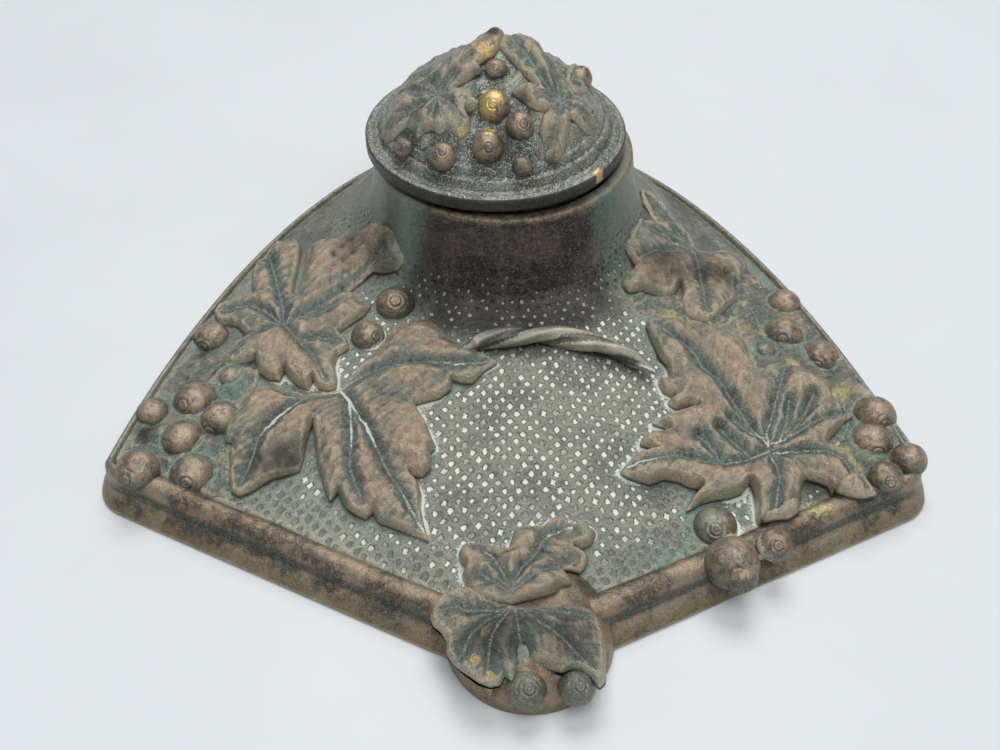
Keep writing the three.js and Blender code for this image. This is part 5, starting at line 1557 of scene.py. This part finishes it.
def close_below(piece, level):
    """Extrudes the open edges of a sheet down and fills the flat underside."""
    edit_alone(piece)
    bpy.ops.mesh.select_all(action="DESELECT")
    bpy.ops.mesh.select_mode(type="EDGE")
    bpy.ops.mesh.select_non_manifold()
    bpy.ops.mesh.extrude_edges_move()
    editing = bmesh.from_edit_mesh(piece.data)
    for vert in editing.verts:
        if vert.select:
            vert.co.z = level
    bmesh.update_edit_mesh(piece.data)
    bpy.ops.mesh.fill(use_beauty=False)
    face_outwards()


# Collar: columns of points, spacing of the rows by length from the foot, where
# the pits fade by share of height and depth in plan, and where its sides turn pale
# with green film and a painted sheen, by distance to the side
COLLAR_COLUMNS = 720
FINE_ROWS_UP_TO = 22
FINE_ROW = 0.26
PLAIN_ROW = 1.2
PITS_TOP = (0.5, 0.16)
PITS_BACK = (8, -6)
DULL_SIDES = (13, 31)
PATTERN_RADIUS = 36


class INKSTAND_OT_collar(bpy.types.Operator):
    """Makes the collar with its flared foot, bare rim and bore"""
    bl_idname = "inkstand.collar"
    bl_label = "Collar"

    def execute(self, context):
        turn = np.linspace(0, math.tau, COLLAR_COLUMNS, endpoint=False) + math.pi / 2
        knots = np.vstack([(FOOT_RADIUS + 2.4, FOOT_HEIGHT - 0.9), COLLAR_PROFILE])
        length = lengths_along(knots)
        marks = np.concatenate([
            np.arange(0, FINE_ROWS_UP_TO, FINE_ROW), np.arange(FINE_ROWS_UP_TO, length[-1], PLAIN_ROW)])
        near = np.clip(marks[:, None] + np.linspace(-1.2, 1.2, 9), 0, length[-1])
        outside = np.stack([np.interp(near, length, knots[:, k]).mean(1) for k in (0, 1)], 1).tolist()
        pits_across = round(math.tau * PATTERN_RADIUS / COLLAR_HALF_ACROSS / 2) * 2
        rows, pits, fills, edges, rims = [], [], [], [], []
        along = 0.0
        before = outside[0]
        for k, (radius, level) in enumerate([*outside, *COLLAR_INSIDE]):
            along += math.dist(before, (radius, level))
            before = (radius, level)
            u, v = turn * pits_across / math.tau, along / COLLAR_HALF_DEEP
            depth, chance = pit_pattern(
                (u + v) / 2, (u - v) / 2, COLLAR_HALF_ACROSS, COLLAR_HALF_DEEP, COLLAR_PIT_HALF)
            up = (level - FOOT_HEIGHT) / (COLLAR_HEIGHT - FOOT_HEIGHT)
            fade = smooth_step(*PITS_TOP, up + 0.07 * np.sin(turn * 5 + 1) + 0.05 * np.sin(turn * 13))
            depth = depth * fade * (k < len(outside)) * smooth_step(*PITS_BACK, radius * np.sin(turn))
            reach = radius - COLLAR_PIT_DEPTH * depth
            x, y = reach * np.cos(turn), reach * np.sin(turn)
            if level > PAD_BOTTOM and radius > MOUTH_RADIUS:
                y = np.where((np.abs(x) < PAD_HALF) & (y > 0), np.minimum(y, PAD_Y), y)
            rows.append(np.column_stack([x, y, np.full(COLLAR_COLUMNS, level)]))
            pits.append(depth)
            fills.append(chance)
            # Grime and painted shade on the lowest rows, where the foot meets the ground
            edges.append(0.3 * (k < 3))
            rims.append(float(radius > COLLAR_RADIUS - 3 and level > COLLAR_HEIGHT - 0.6))
        points = np.vstack(rows)
        attributes = {
            "pit": np.concatenate(pits), "fill": np.concatenate(fills),
            "crevice": np.repeat(edges, COLLAR_COLUMNS), "edge_gold": np.repeat(rims, COLLAR_COLUMNS),
            # Pale green film, with a painted sheen, towards the sides of the collar
            "dull": smooth_step(*DULL_SIDES, np.abs(points[:, 0] - 2)),
            **patina_and_shade_layers(*points.T[:2], casting_height)}
        attributes["white"] *= 0
        cast_piece("collar", points, loop_grid(len(rows), COLLAR_COLUMNS), attributes, "collar", 0.05)
        return {"FINISHED"}


class INKSTAND_OT_ornament(bpy.types.Operator):
    """Makes the rounded boss at the front corner that the corner leaves cover"""
    bl_idname = "inkstand.ornament"
    bl_label = "Corner boss"

    def execute(self, context):
        bpy.ops.object.select_all(action="DESELECT")
        bpy.ops.mesh.primitive_uv_sphere_add(segments=96, ring_count=48, radius=1, location=(0, 0, 0))
        ball = bpy.context.active_object
        x, y, up = np.array([v.co for v in ball.data.vertices]).T
        faces = [list(p.vertices) for p in ball.data.polygons]
        bpy.data.objects.remove(ball)
        z = np.where(up > 0, boss_level(np.hypot(x, y)), CASTING_LIFT)
        x, y = BOSS_CENTRE[0] + x * BOSS_RADIUS, BOSS_CENTRE[1] + y * BOSS_RADIUS
        z = z + 0.25 * ripple(x, y, 5, 31) * (up > 0.2)
        attributes = {
            # Grime and painted shade at the low outer edge and underside of the boss
            "crevice": 0.35 * (up < 0.5), "edge_gold": hump(z - 0.5, 2.5),
            **patina_and_shade_layers(x, y, relief_height)}
        cast_piece("corner_boss", np.column_stack([x, y, z]), faces, attributes, "border", 0.2)
        return {"FINISHED"}


class INKSTAND_OT_leaves(bpy.types.Operator):
    """Makes the vine leaves of the base"""
    bl_idname = "inkstand.leaves"
    bl_label = "Leaves"

    def execute(self, context):
        for group, height_at, first in ((BASE_LEAVES, relief_height, 100), (BEDS, ground_level, 150)):
            for seed, (name, leaf) in enumerate(group.items(), first):
                leaf_piece(name, leaf, height_at, seed, "leaf")
        return {"FINISHED"}


class INKSTAND_OT_grapes(bpy.types.Operator):
    """Makes the grapes of the base"""
    bl_idname = "inkstand.grapes"
    bl_label = "Grapes"

    def execute(self, context):
        for name, group in BASE_GRAPES.items():
            sink = CORNER_SINK if name == "grapes_of_corner" else BASE_SINK
            grape_cluster(name, group, relief_height, sink, 0.92, "grape", 0.3)
        return {"FINISHED"}


# Stem: steps along it, points round it, and its strands and their bark as their
# number, depth and twist
STEM_STEPS = 160
STEM_COLUMNS = 32
STRANDS, STRAND_DEPTH, STRAND_TWIST = 2, 0.2, 9
RIBS, RIB_DEPTH, RIB_TWIST = 7, 0.06, 6
DARK_STRAND = 0.93


class INKSTAND_OT_stem(bpy.types.Operator):
    """Makes the twisted vine stem in front of the collar"""
    bl_idname = "inkstand.stem"
    bl_label = "Stem"

    def execute(self, context):
        radius = context.scene.inkstand_sizes.stem_radius / MM
        knots = place_on(STEM_PIXELS, casting_height, radius * 1.1)
        steps = np.linspace(0, len(knots) - 1, STEM_STEPS)
        path = np.column_stack([np.interp(steps, range(len(knots)), knots[:, k]) for k in range(3)])
        for _ in range(12):
            path[1:-1] = mix(path[1:-1], (path[:-2] + path[2:]) / 2, 0.7)
        along = unit(np.gradient(path, axis=0))
        side = unit(np.cross(along, (0, 0, 1)))
        up = np.cross(side, along)
        turn = np.linspace(0, math.tau, STEM_COLUMNS, endpoint=False)
        share = np.linspace(0, 1, len(path))[:, None]
        ends = np.minimum(1, 8 * np.minimum(share + 0.02, 1.02 - share))
        strand = 1 + STRAND_DEPTH * np.cos(STRANDS * (turn - share * STRAND_TWIST))
        strand = strand + RIB_DEPTH * np.cos(RIBS * (turn - share * RIB_TWIST))
        ring = radius * (0.75 + 0.25 * np.sin(share * math.pi)) * ends * strand
        points = (path[:, None] + side[:, None] * (ring * np.cos(turn))[..., None]
                  + up[:, None] * (ring * np.sin(turn))[..., None]).reshape(-1, 3)
        attributes = {
            # Grime and painted shade in the grooves between the strands
            "crevice": (strand < DARK_STRAND).ravel() * 0.9, "edge_gold": np.zeros(len(points)),
            **patina_and_shade_layers(*points.T[:2], casting_height)}
        cast_piece("vine_stem", points, capped_grid(len(path), len(turn)), attributes, "stem", 0.3)
        return {"FINISHED"}


# Lid: columns of points, the ridges' inner radius, pitch and height, the height
# and number of the twists on them, and the waves of the dome
LID_COLUMNS = 480
RIDGES_INSIDE = 24.0
RIDGE_PITCH = 1.75
RIDGE_HEIGHT = 0.32
TWIST_HEIGHT = 0.12
TWISTS = 60
DOME_WAVES = ((0.35, 4, 51), (0.35, 1.7, 52))


def rippled_dome(x, y):
    return rippled(dome_height(x, y), x, y, DOME_WAVES)


class INKSTAND_OT_lid(bpy.types.Operator):
    """Makes the lid's shell with its rim, ridges, dome, hollow and spigot"""
    bl_idname = "inkstand.lid"
    bl_label = "Lid"

    def execute(self, context):
        turn = np.linspace(0, math.tau, LID_COLUMNS, endpoint=False)
        front = np.clip(-np.sin(turn - 0.5), 0, 1)
        rows, crevice, rim = [], [], []

        def add_row(radius, level, dirt_and_shade=0.0, bare=0.0, centre=LID_CENTRE, back=0.0):
            x = centre[0] + radius * np.cos(turn)
            y = centre[1] + back + radius * np.sin(turn)
            z = level(x, y) if callable(level) else np.full(LID_COLUMNS, level)
            rows.append(np.column_stack([x, y, z]))
            crevice.append(np.broadcast_to(dirt_and_shade, LID_COLUMNS))
            rim.append(bare)

        # From the middle of the hollow down to the spigot and out to the rim
        for radius in np.linspace(0.4, HOLLOW_RADIUS, 10):
            roof = min(dome_level(radius / LID_RADIUS) - ROOF_THICKNESS, LID_TOP + DOME_HEIGHT - 4)
            add_row(radius, roof, back=DOME_SHIFT_BACK)
        add_row(HOLLOW_RADIUS + 0.1, LID_BOTTOM + 0.1, back=DOME_SHIFT_BACK)
        for radius, level in ((SPIGOT_INSIDE, LID_BOTTOM), (SPIGOT_INSIDE, SPIGOT_LOW),
                              (SPIGOT_RADIUS, SPIGOT_LOW), (SPIGOT_RADIUS, LID_BOTTOM)):
            add_row(radius, level, centre=(0, 0))
        add_row(LID_RADIUS - 0.5, LID_BOTTOM)
        add_row(LID_RADIUS - 0.12, LID_BOTTOM + 0.2)
        for share in np.linspace(0.1, 0.85, 5):
            add_row(LID_RADIUS, mix(LID_BOTTOM, LID_TOP, share), 0.2, 0.1)
        add_row(LID_RADIUS - 0.15, LID_TOP - 0.25, bare=0.4)
        add_row(LID_RADIUS - 0.5, LID_TOP)
        for radius in np.arange(LID_RADIUS - 0.9, RIDGES_INSIDE, -0.3):
            wave = np.cos((radius - LID_RADIUS + 1.2) * math.tau / RIDGE_PITCH)
            band = smooth_step(RIDGES_INSIDE, RIDGES_INSIDE + 2.0, radius)
            band = band * smooth_step(LID_RADIUS, LID_RADIUS - 1.0, radius)
            twist = TWIST_HEIGHT * np.sin(turn * TWISTS + radius * 2)
            ridge = (RIDGE_HEIGHT * wave + twist) * band * (0.35 + 0.65 * front)
            # Grime and painted shade in the valleys between the ridges
            add_row(radius, lambda x, y: dome_height(x, y) + ridge, np.clip(-wave * band, 0, 1) * 0.9)
        for radius in np.arange(RIDGES_INSIDE, 0.4, -0.6):
            add_row(radius, rippled_dome, 0.3)
        points = np.vstack(rows)
        x, y, z = points.T
        seat = (np.abs(x) < HINGE_SEAT_HALF) & (y > HINGE_SEAT_FRONT) & (z < LID_BOTTOM + 0.05)
        z[seat] = LID_BOTTOM + HINGE_SEAT_DEPTH
        attributes = {
            "crevice": np.concatenate(crevice), "edge_gold": np.repeat(rim, LID_COLUMNS),
            "by_grape": by_grape(x, y, dome_height), **patina_and_shade_layers(x, y, dome_height)}
        attributes["turquoise"] *= 0
        attributes["white"][:] = 0.15
        hidden = z < dome_height(x, y) - 2.5
        attributes["gold"][hidden] = attributes["yellow"][hidden] = 0
        outer = np.hypot(x - LID_CENTRE[0], y - LID_CENTRE[1]) > LID_RADIUS - 0.4
        # The outer band of the lid's rim gets painted shade in the shade tone
        attributes["dark"][(z > LID_BOTTOM) & (z < LID_TOP - 0.1) & outer] = 1.1
        cast_piece("lid_shell", points, capped_grid(len(rows), LID_COLUMNS), attributes,
                   "lid", 0.3, "lid_casting", "lid")
        return {"FINISHED"}


class INKSTAND_OT_lid_relief(bpy.types.Operator):
    """Makes the leaves and grapes of the lid"""
    bl_idname = "inkstand.lid_relief"
    bl_label = "Lid relief"

    def execute(self, context):
        for seed, (name, leaf) in enumerate(LID_LEAVES.items(), 200):
            leaf_piece(name, leaf, dome_height, seed, "lid_leaf", 1.0, "lid_casting", "lid")
        grape_cluster(
            "lid_grapes", LID_GRAPES, dome_height, LID_SINK, 1.0, "grape", 0.3, "lid_casting", "lid")
        return {"FINISHED"}


# Lights: place and size in metres, and power
LIGHTS = {"window_light": ((0.1, 0.8, 1.5), 0.9, 14.6), "ceiling_light": ((0.15, -0.6, 1.5), 1.2, 15.0)}
LIT_PLACE = (0, -0.03, 0)
ROOM_TONE = (236, 240, 245)
ROOM_STRENGTH = 0.27


class INKSTAND_OT_stage(bpy.types.Operator):
    """Makes the pale table top, the soft lights and the camera"""
    bl_idname = "inkstand.stage"
    bl_label = "Stage"

    def execute(self, context):
        bpy.ops.object.select_all(action="DESELECT")
        bpy.ops.mesh.primitive_plane_add(size=6, location=(0, 0, 0))
        floor = context.active_object
        floor.name = "table_top"
        tones = Tones(context.scene.inkstand_tones)
        coat = Coat("pale table top", tones)
        coat.start(coat.noise(60, 3), coat.tone("floor"), paint(*(v - 5 for v in tones.floor)))
        floor.data.materials.append(coat.finish(0.55, 0.0))
        for name, (place, size, power) in LIGHTS.items():
            lamp = bpy.data.lights.new(name, "AREA")
            lamp.shape = "SQUARE"
            lamp.size = size
            lamp.energy = power
            light = bpy.data.objects.new(name, lamp)
            light.location = place
            light.rotation_euler = (Vector(LIT_PLACE) - light.location).to_track_quat("-Z", "Y").to_euler()
            context.collection.objects.link(light)
        world = bpy.data.worlds.new("soft room")
        context.scene.world = world
        world.use_nodes = True
        background = world.node_tree.nodes["Background"]
        background.inputs["Color"].default_value = paint(*ROOM_TONE)
        background.inputs["Strength"].default_value = ROOM_STRENGTH
        camera = bpy.data.cameras.new("camera")
        camera.sensor_width = SENSOR_WIDTH
        camera.lens = SENSOR_WIDTH * VIEW_FOCAL / (2 * VIEW_CENTRE[0])
        viewer = bpy.data.objects.new("camera", camera)
        viewer.location = VIEW_FROM * MM
        viewer.rotation_euler = (VIEW_TILT, 0, VIEW_TURN)
        context.collection.objects.link(viewer)
        context.scene.camera = viewer
        context.scene.view_settings.view_transform = "Standard"
        return {"FINISHED"}


STEPS = (
    INKSTAND_OT_finishes, INKSTAND_OT_stage, INKSTAND_OT_border, INKSTAND_OT_ground, INKSTAND_OT_collar,
    INKSTAND_OT_ornament, INKSTAND_OT_leaves, INKSTAND_OT_grapes, INKSTAND_OT_stem, INKSTAND_OT_lid,
    INKSTAND_OT_lid_relief, INKSTAND_OT_fittings)


class INKSTAND_PT_panel(bpy.types.Panel):
    """Lists the steps that build the inkstand"""
    bl_label = "Vine inkstand"
    bl_idname = "INKSTAND_PT_panel"
    bl_space_type = "VIEW_3D"
    bl_region_type = "UI"
    bl_category = "Inkstand"

    def draw(self, context):
        for group in (context.scene.inkstand_sizes, context.scene.inkstand_tones):
            for name in type(group).__annotations__:
                self.layout.prop(group, name)
        for part in STEPS:
            self.layout.operator(part.bl_idname)


CLASSES = (InkstandSizes, InkstandTones, *STEPS, INKSTAND_PT_panel)


def register():
    for kind in CLASSES:
        bpy.utils.register_class(kind)
    bpy.types.Scene.inkstand_sizes = bpy.props.PointerProperty(type=InkstandSizes)
    bpy.types.Scene.inkstand_tones = bpy.props.PointerProperty(type=InkstandTones)


def unregister():
    del bpy.types.Scene.inkstand_sizes
    del bpy.types.Scene.inkstand_tones
    for kind in reversed(CLASSES):
        bpy.utils.unregister_class(kind)


def main():
    register()
    for part in STEPS:
        group, name = part.bl_idname.split(".")
        getattr(getattr(bpy.ops, group), name)()


if __name__ == "__main__":
    main()
